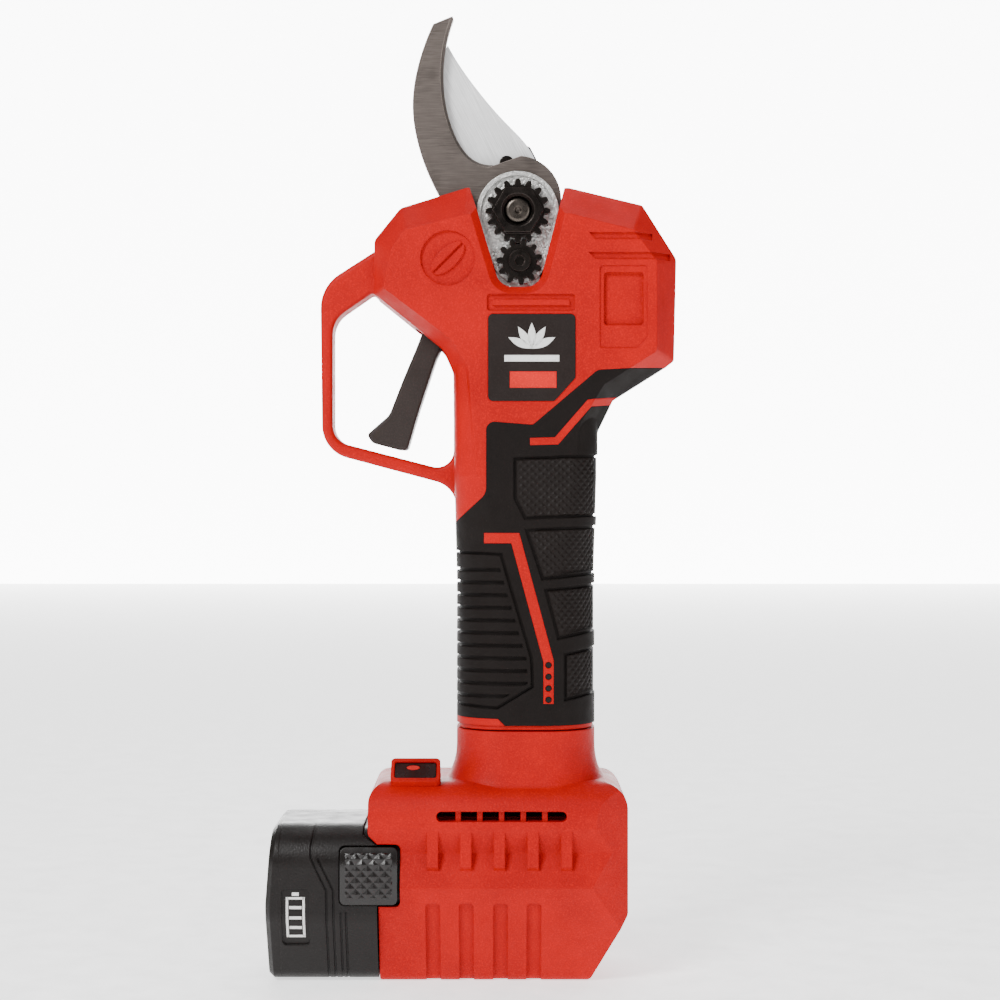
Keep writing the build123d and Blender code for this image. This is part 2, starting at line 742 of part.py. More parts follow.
with BuildPart() as sleeve:
    add(ENVELOPE)
    add(sleeve_prism(), mode=Mode.INTERSECT)
    add(CORE, mode=Mode.SUBTRACT)
    add(OPENINGS, mode=Mode.SUBTRACT)
    add(sleeve_grooves(), mode=Mode.SUBTRACT)

with BuildPart() as shells:
    add(ENVELOPE)
    add(sleeve_prism() - CORE, mode=Mode.SUBTRACT)
    add(CAVITY, mode=Mode.SUBTRACT)
    add(OPENINGS, mode=Mode.SUBTRACT)

# Light pipes of the charge display, in the raised stripe
with BuildPart() as level_leds:
    with BuildSketch(FRONT.offset(GRIP_DEEP / 2 - SLEEVE_THICK - GRIP_WALL)):
        with Locations(*LED_SPOTS):
            Circle(LED_RADIUS)
    extrude(amount=SLEEVE_THICK + GRIP_WALL - MARK_DEEP / 2)
finish(level_leds, "level_leds")

# Shallow marks of the front: disc, bar, badge seat, framed pocket and grooves
with BuildPart() as marks:
    with BuildSketch(FRONT.offset(HEAD_HALF - MARK_DEEP)):
        with Locations(DISC_AT):
            Circle(DISC_RADIUS)
        with Locations(BAR[:2]):
            RectangleRounded(BAR[2], BAR[3], MARK_DEEP)
            RectangleRounded(BAR[2] - 2 * BAR_BORDER, BAR[3] - 2 * BAR_BORDER, BAR_ROUND, mode=Mode.SUBTRACT)
        outline(BADGE)
    extrude(amount=HEAD_HALF)
    with BuildSketch(FRONT.offset(HEAD_HALF - MARK_DEEP / 2)):
        outline(FRAME_MARK)
    extrude(amount=HEAD_HALF)
    with BuildSketch(FRONT.offset(HEAD_HALF - POCKET_DEEP)):
        with Locations(POCKET[:2]):
            RectangleRounded(POCKET[2], POCKET[3], POCKET_ROUND)
    extrude(amount=HEAD_HALF)

# A leaf stands in the sunk disc, in place of a maker's figure
with BuildPart() as leaf:
    with BuildSketch(FRONT.offset(HEAD_HALF - MARK_DEEP)):
        with Locations(DISC_AT):
            Ellipse(LEAF_LONG, LEAF_WIDE, rotation=45)
            Rectangle(2 * LEAF_LONG, LEAF_VEIN, rotation=45, mode=Mode.SUBTRACT)
    extrude(amount=LEAF_PROUD)

with BuildPart() as grooves:
    with BuildSketch(FRONT):
        for top, right in GROOVES:
            Polygon(
                (GROOVE_LEFT, top),
                (right, top),
                (right, top - GROOVE_TALL),
                (GROOVE_LEFT + GROOVE_TALL, top - GROOVE_TALL),
                align=None,
            )
    extrude(amount=HEAD_HALF)
    add(front_mark(MARK_DEEP), mode=Mode.INTERSECT)

with BuildPart() as marked_front:
    add(half(shells.part, True))
    add(marks.part, mode=Mode.SUBTRACT)
    add(leaf.part)
    add(grooves.part, mode=Mode.SUBTRACT)
    add(level_leds.part, mode=Mode.SUBTRACT)
    with BuildSketch(FRONT.offset(GRIP_DEEP / 2 - MARK_DEEP)):
        with Locations(*LED_SPOTS):
            Circle(LED_RADIUS)
    extrude(amount=MARK_DEEP, mode=Mode.SUBTRACT)
finish(marked_front, "front_shell")

with BuildPart() as marked_rear:
    add(half(shells.part, False))
    add(mirror(marks.part - leaf.part, about=FRONT), mode=Mode.SUBTRACT)
    add(mirror(grooves.part, about=FRONT), mode=Mode.SUBTRACT)
finish(marked_rear, "rear_shell")

for front, name in ((True, "front_grip_sleeve"), (False, "rear_grip_sleeve")):
    with BuildPart() as sleeve_half:
        add(half(sleeve.part, front))
    finish(sleeve_half, name)

for front, name in ((True, "front_badge"), (False, "rear_badge")):
    with BuildPart() as badge:
        with BuildSketch(FRONT.offset(HEAD_HALF - MARK_DEEP)):
            outline(BADGE)
        extrude(amount=BADGE_THICK)
        if not front:
            mirror(about=FRONT, mode=Mode.REPLACE)
    finish(badge, name)

# ---------------------------------------------------------------- base
def battery_profile(section, grow=0.0):
    """A battery section's face on the YZ plane, in the open sketch, grown by a clearance."""
    outline(both_sides(section))
    if grow:
        offset(amount=grow, mode=Mode.REPLACE)


def base_envelope():
    """The base's outer shape, solid: three prisms that meet, the neck and the side ribs."""
    with BuildPart() as solid:
        with BuildSketch(FRONT):
            outline(BASE_OUTLINE)
        extrude(amount=SPAN, both=True)
        with BuildSketch(Plane.YZ):
            outline(both_sides(BASE_SECTION))
        extrude(amount=SPAN, both=True, mode=Mode.INTERSECT)
        with BuildSketch(PLAN):
            outline(both_sides(BASE_PLAN))
        extrude(amount=SPAN, both=True, mode=Mode.INTERSECT)
        with BuildSketch(Plane.XY.offset(SEAM_Z)):
            RectangleRounded(GRIP_WIDE, GRIP_DEEP, GRIP_ROUND)
        extrude(amount=BASE_TOP - SEAM_Z - 1)
        for step in range(FLARE_STEPS + 1):
            part = step / FLARE_STEPS
            swell = 1 - math.sqrt(1 - (1 - part) ** 2)
            with BuildSketch(Plane.XY.offset(BASE_TOP - FLARE_SINK + FLARE_TALL * part)):
                RectangleRounded(
                    GRIP_WIDE + 2 * FLARE_WIDE * swell,
                    GRIP_DEEP + 2 * FLARE_DEEP * swell,
                    GRIP_ROUND + 2 * FLARE_DEEP * swell,
                )
        loft(ruled=True)
        for x in BASE_RIB_X:
            with BuildSketch(Plane.YZ.offset(x - BASE_RIB_WIDE / 2)):
                outline(both_sides(BASE_RIB))
            extrude(amount=BASE_RIB_WIDE)
    return solid.part


def base_hollows():
    """Socket, upper chamber, neck, vents, latch notches, terminal seat and screw holes."""
    with BuildPart() as hollow:
        with BuildSketch(Plane.YZ.offset(-SPAN)):
            battery_profile(TONGUE_SECTION, SOCKET_CLEAR)
        extrude(amount=SPAN + SOCKET_END)
        with BuildSketch(FRONT):
            with Locations(CHAMBER[:2]):
                Rectangle(*CHAMBER[2:])
        extrude(amount=CHAMBER_HALF, both=True)
        with BuildSketch(Plane.XY.offset(CHAMBER[1])):
            RectangleRounded(GRIP_WIDE - 2 * NECK_INSET, GRIP_DEEP - 2 * NECK_INSET, NECK_BORE_ROUND)
        extrude(amount=SPAN)
        with BuildSketch(FRONT.offset(CHAMBER_HALF - 1)):
            with Locations(VENT[:2]):
                RectangleRounded(VENT[2], VENT[3], VENT_ROUND)
                with GridLocations(VENT[2] / VENT_HOLES, 0, VENT_HOLES - 1, 1):
                    Rectangle(VENT_BRIDGE, VENT[3], mode=Mode.SUBTRACT)
        extrude(amount=HEAD_HALF)
        with BuildSketch(FRONT.offset(BASE_SECTION[1][0] - VENT_SINK)):
            with Locations(VENT[:2]):
                RectangleRounded(VENT[2], VENT[3], VENT_ROUND)
        extrude(amount=HEAD_HALF)
        for side in (FRONT.offset(CHAMBER_HALF), FRONT.offset(-CHAMBER_HALF - HEAD_HALF)):
            with BuildSketch(side):
                with Locations(LATCH_NOTCH[:2]):
                    RectangleRounded(LATCH_NOTCH[2], LATCH_NOTCH[3], LATCH_ROUND)
            extrude(amount=HEAD_HALF)
        with BuildSketch(Plane.YZ.offset(SOCKET_END)):
            with Locations((0, TERMINAL_Z)):
                Rectangle(3 * TERMINAL_PITCH, TERMINAL_TALL + 2)
        extrude(amount=TERMINAL_SINK)
        with BuildSketch(FRONT):
            with Locations(*BASE_SCREWS):
                Circle(HOLE_RADIUS)
        extrude(amount=HEAD_HALF - 2 * WALL, both=True)
        with BuildSketch(FRONT.offset(-SCREW_SINK)):
            with Locations(*BASE_SCREWS):
                Circle(SCREW_HEAD + CLEAR)
        extrude(amount=-HEAD_HALF)
        add(panel_block())
    return hollow.part


def panel_block():
    """The sloping block that holds the charge-level button."""
    with BuildPart() as block:
        with BuildSketch(PANEL.offset(-PANEL_SINK)):
            RectangleRounded(PANEL_WIDE, PANEL_TALL, PANEL_ROUND)
        extrude(amount=PANEL_SINK + PANEL_PROUD)
    return block.part


BASE_SOLID = base_envelope()

with BuildPart() as base_channels:
    with BuildSketch(FRONT):
        for x in BASE_GROOVE_X:
            with Locations((x, BASE_GROOVE_TOP / 2 + BELOW)):
                RectangleRounded(BASE_GROOVE_WIDE, BASE_GROOVE_TOP - 2 * BELOW, BASE_GROOVE_ROUND)
    extrude(amount=SPAN)
    add(Pos(0, BASE_GROOVE_DEEP, 0) * BASE_SOLID, mode=Mode.SUBTRACT)
    mirror(about=FRONT)

with BuildPart() as base:
    add(BASE_SOLID)
    add(base_hollows(), mode=Mode.SUBTRACT)
    add(base_channels.part, mode=Mode.SUBTRACT)
    with BuildSketch(Plane.XY.offset(BASE_TOP)):
        RectangleRounded(
            GRIP_WIDE - 2 * COLLAR_INSET, GRIP_DEEP - 2 * COLLAR_INSET, GRIP_ROUND - COLLAR_INSET
        )
        RectangleRounded(
            GRIP_WIDE - 2 * NECK_INSET,
            GRIP_DEEP - 2 * NECK_INSET,
            NECK_BORE_ROUND,
            mode=Mode.SUBTRACT,
        )
    extrude(amount=SEAM_Z - BASE_TOP + COLLAR_RISE)

for front, name in ((True, "base_front_shell"), (False, "base_rear_shell")):
    with BuildPart() as base_half:
        add(half(base.part, front))
    finish(base_half, name)

with BuildPart() as power_panel:
    add(panel_block())
    with BuildSketch(PANEL.offset(PANEL_PROUD)):
        RectangleRounded(BUTTON_WIDE + CLEAR, BUTTON_TALL + CLEAR, BUTTON_ROUND)
    extrude(amount=-BUTTON_THICK - 2 * BUTTON_TRAVEL, mode=Mode.SUBTRACT)
finish(power_panel, "power_panel")

with BuildPart() as power_button:
    with BuildSketch(PANEL.offset(PANEL_PROUD - BUTTON_SUNK)):
        RectangleRounded(BUTTON_WIDE, BUTTON_TALL, BUTTON_ROUND)
    extrude(amount=-BUTTON_THICK)
finish(power_button, "power_button")


# ---------------------------------------------------------------- fasteners of the housing
def pan_screw(spots, deep):
    """Screws from the rear: a pan head with a cross recess in each sink, a shank to the front."""
    with BuildPart() as screws:
        with BuildSketch(FRONT.offset(-SCREW_SINK)):
            with Locations(*spots):
                Circle(SCREW_HEAD)
        extrude(amount=-SCREW_HEAD_TALL)
        with BuildSketch(FRONT.offset(-SCREW_SINK)):
            with Locations(*spots):
                Circle(HOLE_RADIUS)
        extrude(amount=SCREW_SINK + deep)
        with BuildSketch(FRONT.offset(-SCREW_SINK - SCREW_HEAD_TALL)):
            with Locations(*spots):
                Rectangle(CROSS_LONG, CROSS_WIDE)
                Rectangle(CROSS_WIDE, CROSS_LONG)
        extrude(amount=SCREW_HEAD_TALL / 2, mode=Mode.SUBTRACT)
    return screws


finish(pan_screw(HEAD_SCREWS + [GRIP_SCREW], SCREW_DEEP), "housing_screws")
finish(pan_screw(BASE_SCREWS, SCREW_DEEP), "base_screws")


# ---------------------------------------------------------------- battery pack
def pack_outline():
    """The pack's side view, in the open sketch: its left end leans a little."""
    outline(
        [
            (PACK_SHOULDER, BEYOND, 0.0),
            (PACK_LEFT + 2.0, BEYOND, 0.0),
            (PACK_LEFT + 1.6, 46.0, 0.0),
            (PACK_LEFT, 24.0, 12.0),
            (PACK_LEFT + 0.4, BELOW, 0.0),
            (PACK_SHOULDER, BELOW, 0.0),
        ]
    )


def pack_body(grow):
    """The wide part of the pack outside the base, grown or drawn in by a distance."""
    with BuildPart() as body:
        with BuildSketch(Plane.YZ.offset(PACK_LEFT)):
            battery_profile(PACK_SECTION, grow)
        extrude(amount=PACK_SHOULDER - PACK_LEFT)
        with BuildSketch(FRONT):
            pack_outline()
        extrude(amount=SPAN, both=True, mode=Mode.INTERSECT)
    return body.part


def latch_prism(gap, end):
    """The latch pad's footprint, front to back, out to an x where it ends."""
    left = LATCH_AT[0] - LATCH_SIZE[0] / 2 - gap
    with BuildPart() as prism:
        with BuildSketch(FRONT):
            with Locations(((left + end) / 2, LATCH_AT[1])):
                RectangleRounded(end - left, LATCH_SIZE[1] + 2 * gap, LATCH_ROUND)
        extrude(amount=SPAN, both=True)
    return prism.part


PACK_SOLID = pack_body(0)

with BuildPart() as pack_grooves:
    with BuildSketch(FRONT):
        band(PACK_SEAM, PACK_LINE_WIDE)
        band([(x + PACK_SEAM_GAP, z) for x, z in PACK_SEAM[2:]], PACK_LINE_WIDE)
        for x in PACK_LINES:
            band([(x, PACK_LINE_TOP), (x, BELOW)], PACK_LINE_WIDE)
        with Locations(LABEL[:2]):
            RectangleRounded(LABEL[2], LABEL[3], LABEL_ROUND)
    extrude(amount=SPAN)
    add(Pos(0, PACK_LINE_DEEP, 0) * PACK_SOLID, mode=Mode.SUBTRACT)
    mirror(about=FRONT)

with BuildPart() as battery_case:
    add(PACK_SOLID)
    with BuildSketch(FRONT):
        Polygon(*HOOD_CUT, align=None)
    extrude(amount=SPAN, both=True, mode=Mode.SUBTRACT)
    with BuildSketch(Plane.YZ.offset(PACK_LEFT)):
        Rectangle(SPAN, SPAN)
    extrude(amount=PACK_JOIN - PACK_LEFT, mode=Mode.SUBTRACT)
    pocket_floor = pack_body(-LATCH_ROOT - LATCH_TRAVEL - 2 * CLEAR)
    add(latch_prism(CLEAR, SPAN) - pocket_floor, mode=Mode.SUBTRACT)
    add(pack_grooves.part, mode=Mode.SUBTRACT)
    with BuildSketch(Plane.YZ.offset(PACK_SHOULDER - TONGUE_ROOT)):
        battery_profile(TONGUE_SECTION)
    extrude(amount=TONGUE_END - PACK_SHOULDER + TONGUE_ROOT)
    with BuildSketch(Plane.YZ.offset(PACK_JOIN)):
        battery_profile(TONGUE_SECTION, -CASE_SKIN)
    extrude(amount=TONGUE_END - CASE_SKIN - PACK_JOIN, mode=Mode.SUBTRACT)
    with BuildSketch(Plane.YZ.offset(TONGUE_END)):
        with Locations((0, TERMINAL_Z)):
            with GridLocations(TERMINAL_PITCH, 0, 3, 1):
                Rectangle(CONTACT_WIDE, TERMINAL_TALL)
    extrude(amount=-CASE_SKIN, mode=Mode.SUBTRACT)
finish(battery_case, "battery_case")

with BuildPart() as battery_end_cap:
    add(PACK_SOLID)
    with BuildSketch(Plane.YZ.offset(PACK_JOIN)):
        Rectangle(2 * SPAN, 2 * SPAN)
    extrude(amount=SPAN, mode=Mode.SUBTRACT)
    chamfer(battery_end_cap.faces().sort_by(Axis.X)[0].edges(), CAP_CHAMFER)
finish(battery_end_cap, "battery_end_cap")

with BuildPart() as battery_contacts:
    with BuildSketch(Plane.YZ.offset(TONGUE_END)):
        with Locations((0, TERMINAL_Z)):
            with GridLocations(TERMINAL_PITCH, 0, 3, 1):
                Rectangle(CONTACT_WIDE, TERMINAL_TALL)
    extrude(amount=-CASE_SKIN)
finish(battery_contacts, "battery_contacts")

with BuildPart() as battery_terminals:
    with BuildSketch(Plane.YZ.offset(TONGUE_END + FIT * 2)):
        with Locations((0, TERMINAL_Z)):
            with GridLocations(TERMINAL_PITCH, 0, 3, 1):
                Rectangle(CONTACT_WIDE / 2, TERMINAL_TALL - 1)
    extrude(amount=SOCKET_END + TERMINAL_SINK - TONGUE_END - FIT * 2)
finish(battery_terminals, "battery_terminals")

for index, spot in enumerate(CELLS):
    with BuildPart() as cell:
        with BuildSketch(Plane.YZ.offset(CELL_LEFT)):
            with Locations(spot):
                Circle(CELL_RADIUS)
        extrude(amount=CELL_LONG)
        with BuildSketch(Plane.YZ.offset(CELL_LEFT + CELL_LONG)):
            with Locations(spot):
                Circle(CELL_RADIUS / 3)
        extrude(amount=CELL_BUTTON)
        fillet(cell.edges().filter_by(GeomType.CIRCLE).sort_by(Axis.X)[0], CELL_ROUND)
    finish(cell, f"battery_cell_{index + 1}")

with BuildPart() as cell_straps:
    with BuildSketch(Plane.YZ.offset(CELL_LEFT)):
        with Locations((0, CELLS[0][1])):
            Rectangle(2 * CELLS[1][0] + STRAP_WIDE, STRAP_WIDE)
    extrude(amount=-STRAP_THICK)
    with BuildSketch(Plane.YZ.offset(CELL_LEFT + CELL_LONG + CELL_BUTTON)):
        band([CELLS[0], CELLS[2]], STRAP_WIDE)
    extrude(amount=STRAP_THICK)
finish(cell_straps, "cell_straps")

for front, name in ((True, "front_latch"), (False, "rear_latch")):
    with BuildPart() as latch:
        with BuildSketch(Plane.YZ.offset(PACK_LEFT)):
            battery_profile(PACK_SECTION, LATCH_PROUD)
        extrude(amount=SPAN)
        with BuildSketch(Plane.YZ.offset(PACK_LEFT)):
            battery_profile(PACK_SECTION, -LATCH_ROOT)
        extrude(amount=SPAN, mode=Mode.SUBTRACT)
        add(latch_prism(0, LATCH_AT[0] + LATCH_SIZE[0] / 2), mode=Mode.INTERSECT)
        split(bisect_by=FRONT, keep=Keep.TOP if front else Keep.BOTTOM)
    finish(latch, name)


# ---------------------------------------------------------------- cutter on its pivot
def along_pivot(front, back):
    """The plane at the back of a layer, and the layer's thickness towards the front."""
    return FRONT.offset(-back), back - front


def disc_layer(front, back, radius, bore, at=PIVOT):
    """A drilled disc between two depths."""
    plane, thick = along_pivot(front, back)
    with BuildPart() as disc:
        with BuildSketch(plane):
            with Locations(at):
                Circle(radius)
                Circle(bore, mode=Mode.SUBTRACT)
        extrude(amount=thick)
    return disc.part


def pear(grow=0.0):
    """The cutter seat's pear outline, in the open sketch."""
    with Locations(PIVOT):
        Circle(SEAT_BIG_RADIUS + grow)
    with Locations((LOCK_X, LOCK_Z + 1.6)):
        Circle(SEAT_SMALL_RADIUS + grow)
    make_hull()


with BuildPart() as cutter_seat:
    plane, thick = along_pivot(PLATE_FRONT - SEAT_RIM, PLATE_BACK)
    with BuildSketch(plane):
        pear()
    extrude(amount=thick)
    with BuildSketch(FRONT.offset(-PLATE_FRONT)):
        pear(-SEAT_RIM_WIDE)
    extrude(amount=SEAT_RIM, mode=Mode.SUBTRACT)
    plane, thick = along_pivot(PLATE_FRONT, PLATE_BACK)
    with BuildSketch(plane):
        with Locations((PIVOT_X, SEAT_WEB_Z)):
            Rectangle(SEAT_WEB_WIDE, SEAT_WEB_TALL)
    extrude(amount=thick)
    plane, thick = along_pivot(BACK_PLATE_FRONT, BACK_PLATE_BACK)
    with BuildSketch(plane):
        pear()
        with Locations((PIVOT_X, SEAT_WEB_Z)):
            Rectangle(SEAT_WEB_WIDE, SEAT_WEB_TALL)
        outline(SEAT_ARM)
    extrude(amount=thick)
    plane, thick = along_pivot(HOOK_BACK, BACK_PLATE_FRONT)
    with BuildSketch(plane):
        with Locations(*POSTS):
            Circle(POST_RADIUS)
    extrude(amount=thick)
    with BuildSketch(Plane.XY.offset(TUBE_BOTTOM)):
        with Locations((PIVOT_X, 0)):
            Circle(TUBE_RADIUS)
    extrude(amount=TUBE_TOP - TUBE_BOTTOM)
    with BuildSketch(Plane.XY.offset(TUBE_BOTTOM)):
        with Locations((PIVOT_X, 0)):
            Circle(TUBE_BORE)
    extrude(amount=TUBE_TOP - TUBE_BOTTOM, mode=Mode.SUBTRACT)
    with BuildSketch(Plane.XY.offset(TUBE_TOP - 1)):
        with Locations((PIVOT_X, 0)):
            Circle(PINION_POCKET)
    extrude(amount=PIVOT_Z - HUB_RADIUS - TUBE_TOP, mode=Mode.SUBTRACT)
    with BuildSketch(FRONT):
        with Locations(PIVOT):
            Circle(BOLT_RADIUS)
        with Locations(*POSTS):
            Circle(SCREW_RADIUS)
    extrude(amount=SPAN, both=True, mode=Mode.SUBTRACT)
    with BuildSketch(FRONT.offset(LOCK_SCREW_IN)):
        with Locations((LOCK_X, LOCK_Z)):
            Circle(SCREW_RADIUS)
    extrude(amount=SPAN, mode=Mode.SUBTRACT)
finish(cutter_seat, "cutter_seat")

with BuildPart() as hook_blade:
    plane, thick = along_pivot(HOOK_FRONT, HOOK_BACK)
    with BuildSketch(plane):
        with BuildLine() as hook_edge:
            Spline(*HOOK_BACK_CURVE)
            Polyline(HOOK_BACK_CURVE[-1], *HOOK_TAIL, HOOK_HUB_ARC[-1])
            ThreePointArc(*HOOK_HUB_ARC)
            Line(HOOK_HUB_ARC[0], HOOK_INNER_CURVE[-1])
            Spline(*HOOK_INNER_CURVE)
            Line(HOOK_INNER_CURVE[0], HOOK_TIP)
            Line(HOOK_TIP, HOOK_BACK_CURVE[0])
        make_face(hook_edge.edges())
        with Locations(PIVOT):
            Circle(BOLT_RADIUS, mode=Mode.SUBTRACT)
        with Locations(*POSTS):
            Circle(SCREW_RADIUS, mode=Mode.SUBTRACT)
    extrude(amount=thick)
    front_edges = hook_blade.faces().sort_by(Axis.Y)[0].edges()
    inner_edge = front_edges.filter_by(GeomType.BSPLINE).sort_by(Axis.X)[-1]
    chamfer(inner_edge, HOOK_BEVEL)
finish(hook_blade, "hook_blade")

with BuildPart() as hook_screws:
    plane, thick = along_pivot(HOOK_FRONT - HOOK_SCREW_HEAD, HOOK_FRONT)
    with BuildSketch(plane):
        with Locations(*POSTS):
            Circle(POST_RADIUS)
            RegularPolygon(SCREW_RADIUS * 0.8, 6, mode=Mode.SUBTRACT)
    extrude(amount=thick)
    plane, thick = along_pivot(HOOK_FRONT, BACK_PLATE_FRONT)
    with BuildSketch(plane):
        with Locations(*POSTS):
            Circle(SCREW_RADIUS)
    extrude(amount=thick)
finish(hook_screws, "hook_screws")

with BuildPart() as cutting_blade:
    plane, thick = along_pivot(BLADE_FRONT, BLADE_BACK)
    with BuildSketch(plane):
        with BuildLine() as blade_edge:
            Spline(*BLADE_SPINE)
            Polyline(BLADE_SPINE[-1], BLADE_HUB_RIGHT, BLADE_HUB_LEFT, BLADE_EDGE[-1])
            Spline(*BLADE_EDGE)
        make_face(blade_edge.edges())
        with Locations(PIVOT):
            Circle(HUB_RADIUS)
            Circle(BOLT_RADIUS + FIT, mode=Mode.SUBTRACT)
        with Locations(DRIVE_PIN):
            Circle(DRIVE_PIN_RADIUS, mode=Mode.SUBTRACT)
    extrude(amount=thick)
finish(cutting_blade, "cutting_blade")

with BuildPart() as drive_pin:
    plane, thick = along_pivot(BLADE_FRONT, SECTOR_BACK)
    with BuildSketch(plane):
        with Locations(DRIVE_PIN):
            Circle(DRIVE_PIN_RADIUS)
    extrude(amount=thick)
finish(drive_pin, "drive_pin")

with BuildPart() as pivot_bolt:
    plane, thick = along_pivot(NUT_FRONT + BOLT_SUNK, BACK_PLATE_BACK)
    with BuildSketch(plane):
        with Locations(PIVOT):
            Circle(BOLT_RADIUS)
    extrude(amount=thick)
    fillet(pivot_bolt.edges().sort_by(Axis.Y)[0], BOLT_ROUND)
    with BuildSketch(FRONT.offset(-NUT_FRONT - BOLT_SUNK)):
        with Locations(PIVOT):
            Circle(BOLT_DIMPLE)
    extrude(amount=-DIMPLE_DEEP, taper=45, mode=Mode.SUBTRACT)
    plane, thick = along_pivot(BACK_PLATE_BACK, BOLT_HEAD_BACK)
    with BuildSketch(plane):
        with Locations(PIVOT):
            RegularPolygon(BOLT_HEX, 6, major_radius=False)
    extrude(amount=thick)
finish(pivot_bolt, "pivot_bolt")

with BuildPart() as pivot_washer:
    add(disc_layer(FLANGE_BACK, PLATE_FRONT, BOLT_HEX + 0.8, BOLT_RADIUS + FIT))
finish(pivot_washer, "pivot_washer")


# ---------------------------------------------------------------- tension nut and its lock gear
with BuildPart() as toothed_nut:
    plane, thick = along_pivot(FLANGE_FRONT, FLANGE_BACK)
    with BuildSketch(plane):
        with Locations(PIVOT):
            spur_sketch(NUT_MODULE, NUT_TEETH, GEAR_ANGLE, NUT_ADDENDUM, NUT_DEDENDUM, NUT_BACKLASH)
    extrude(amount=thick)
    plane, thick = along_pivot(NUT_FRONT, FLANGE_FRONT)
    with BuildSketch(plane):
        with Locations(PIVOT):
            RegularPolygon(BOLT_HEX, 6, major_radius=False)
    extrude(amount=thick)
    with BuildSketch(FRONT):
        with Locations(PIVOT):
            Circle(BOLT_RADIUS + FIT)
    extrude(amount=SPAN, mode=Mode.SUBTRACT)
    bore_edge = toothed_nut.faces().sort_by(Axis.Y)[0].edges().filter_by(GeomType.CIRCLE)
    chamfer(bore_edge, NUT_CHAMFER)
finish(toothed_nut, "toothed_nut")

with BuildPart() as lock_gear:
    plane, thick = along_pivot(FLANGE_FRONT, FLANGE_BACK)
    with BuildSketch(plane):
        with Locations((LOCK_X, LOCK_Z)):
            spur_sketch(
                NUT_MODULE, LOCK_TEETH, GEAR_ANGLE, NUT_ADDENDUM, NUT_DEDENDUM, NUT_BACKLASH, LOCK_TURN
            )
    extrude(amount=thick)
    with BuildSketch(FRONT):
        with Locations((LOCK_X, LOCK_Z)):
            Circle(SCREW_RADIUS + FIT)
    extrude(amount=SPAN, mode=Mode.SUBTRACT)
finish(lock_gear, "lock_gear")

with BuildPart() as lock_screw:
    plane, thick = along_pivot(FLANGE_FRONT - FIT, PLATE_FRONT + LOCK_SCREW_DEEP)
    with BuildSketch(plane):
        with Locations((LOCK_X, LOCK_Z)):
            Circle(SCREW_RADIUS)
    extrude(amount=thick)
    with BuildSketch(FRONT.offset(-FLANGE_FRONT + FIT)):
        with Locations((LOCK_X, LOCK_Z)):
            Circle(LOCK_HEAD)
    extrude(amount=LOCK_HEAD_TALL)
    with BuildSketch(FRONT.offset(-FLANGE_FRONT + FIT + LOCK_HEAD_TALL)):
        with Locations((LOCK_X, LOCK_Z)):
            RegularPolygon(LOCK_HEAD / 2, 6)
    extrude(amount=-LOCK_HEAD_TALL * 0.7, mode=Mode.SUBTRACT)
finish(lock_screw, "lock_screw")


# ---------------------------------------------------------------- bevel sector and pinion
def bevel_tooth(teeth, cone, axis_dir, side_dir):
    """One tooth of a bevel gear whose apex is on the pivot, made of flats that meet at the apex."""
    pitch_radius = BEVEL_MODULE * teeth / 2
    virtual = pitch_radius / math.cos(cone)
    points = tooth_points(
        virtual,
        teeth / math.cos(cone),
        BEVEL_ANGLE,
        virtual - BEVEL_DEDENDUM - BEVEL_ROOT_SINK,
        virtual + BEVEL_ADDENDUM,
        BEVEL_BACKLASH / 2,
    )
    apex = Vector(PIVOT_X, 0, PIVOT_Z)
    ray = axis_dir * math.cos(cone) + side_dir * math.sin(cone)
    up = side_dir * math.cos(cone) - axis_dir * math.sin(cone)
    with BuildPart() as tooth:
        for reach in (BEVEL_CONE, BEVEL_CONE - BEVEL_FACE):
            scale = reach / BEVEL_CONE
            with BuildSketch(Plane(origin=apex + ray * reach, x_dir=up.cross(ray), z_dir=ray)):
                Polygon(*[(x * scale, (y - virtual) * scale) for x, y in points], align=None)
        loft(ruled=True)
    return tooth.part


def cone_point(angle, reach, cross_lift=0.0):
    """Distance from a bevel gear's axis and along it, at a cone angle and reach from the apex."""
    return reach * math.sin(angle), reach * math.cos(angle) + cross_lift


def sector_direction(degrees):
    """Unit vector from the pivot towards a sector tooth, measured from straight down."""
    return Vector(math.sin(math.radians(degrees)), 0, -math.cos(math.radians(degrees)))


SECTOR_CONE = math.atan(BEVEL_TEETH / PINION_TEETH)
PINION_CONE = math.pi / 2 - SECTOR_CONE
ROOT_DROP = math.atan(BEVEL_DEDENDUM / BEVEL_CONE)
SECTOR_PITCH = 360.0 / BEVEL_TEETH
PINION_PITCH = 360.0 / PINION_TEETH

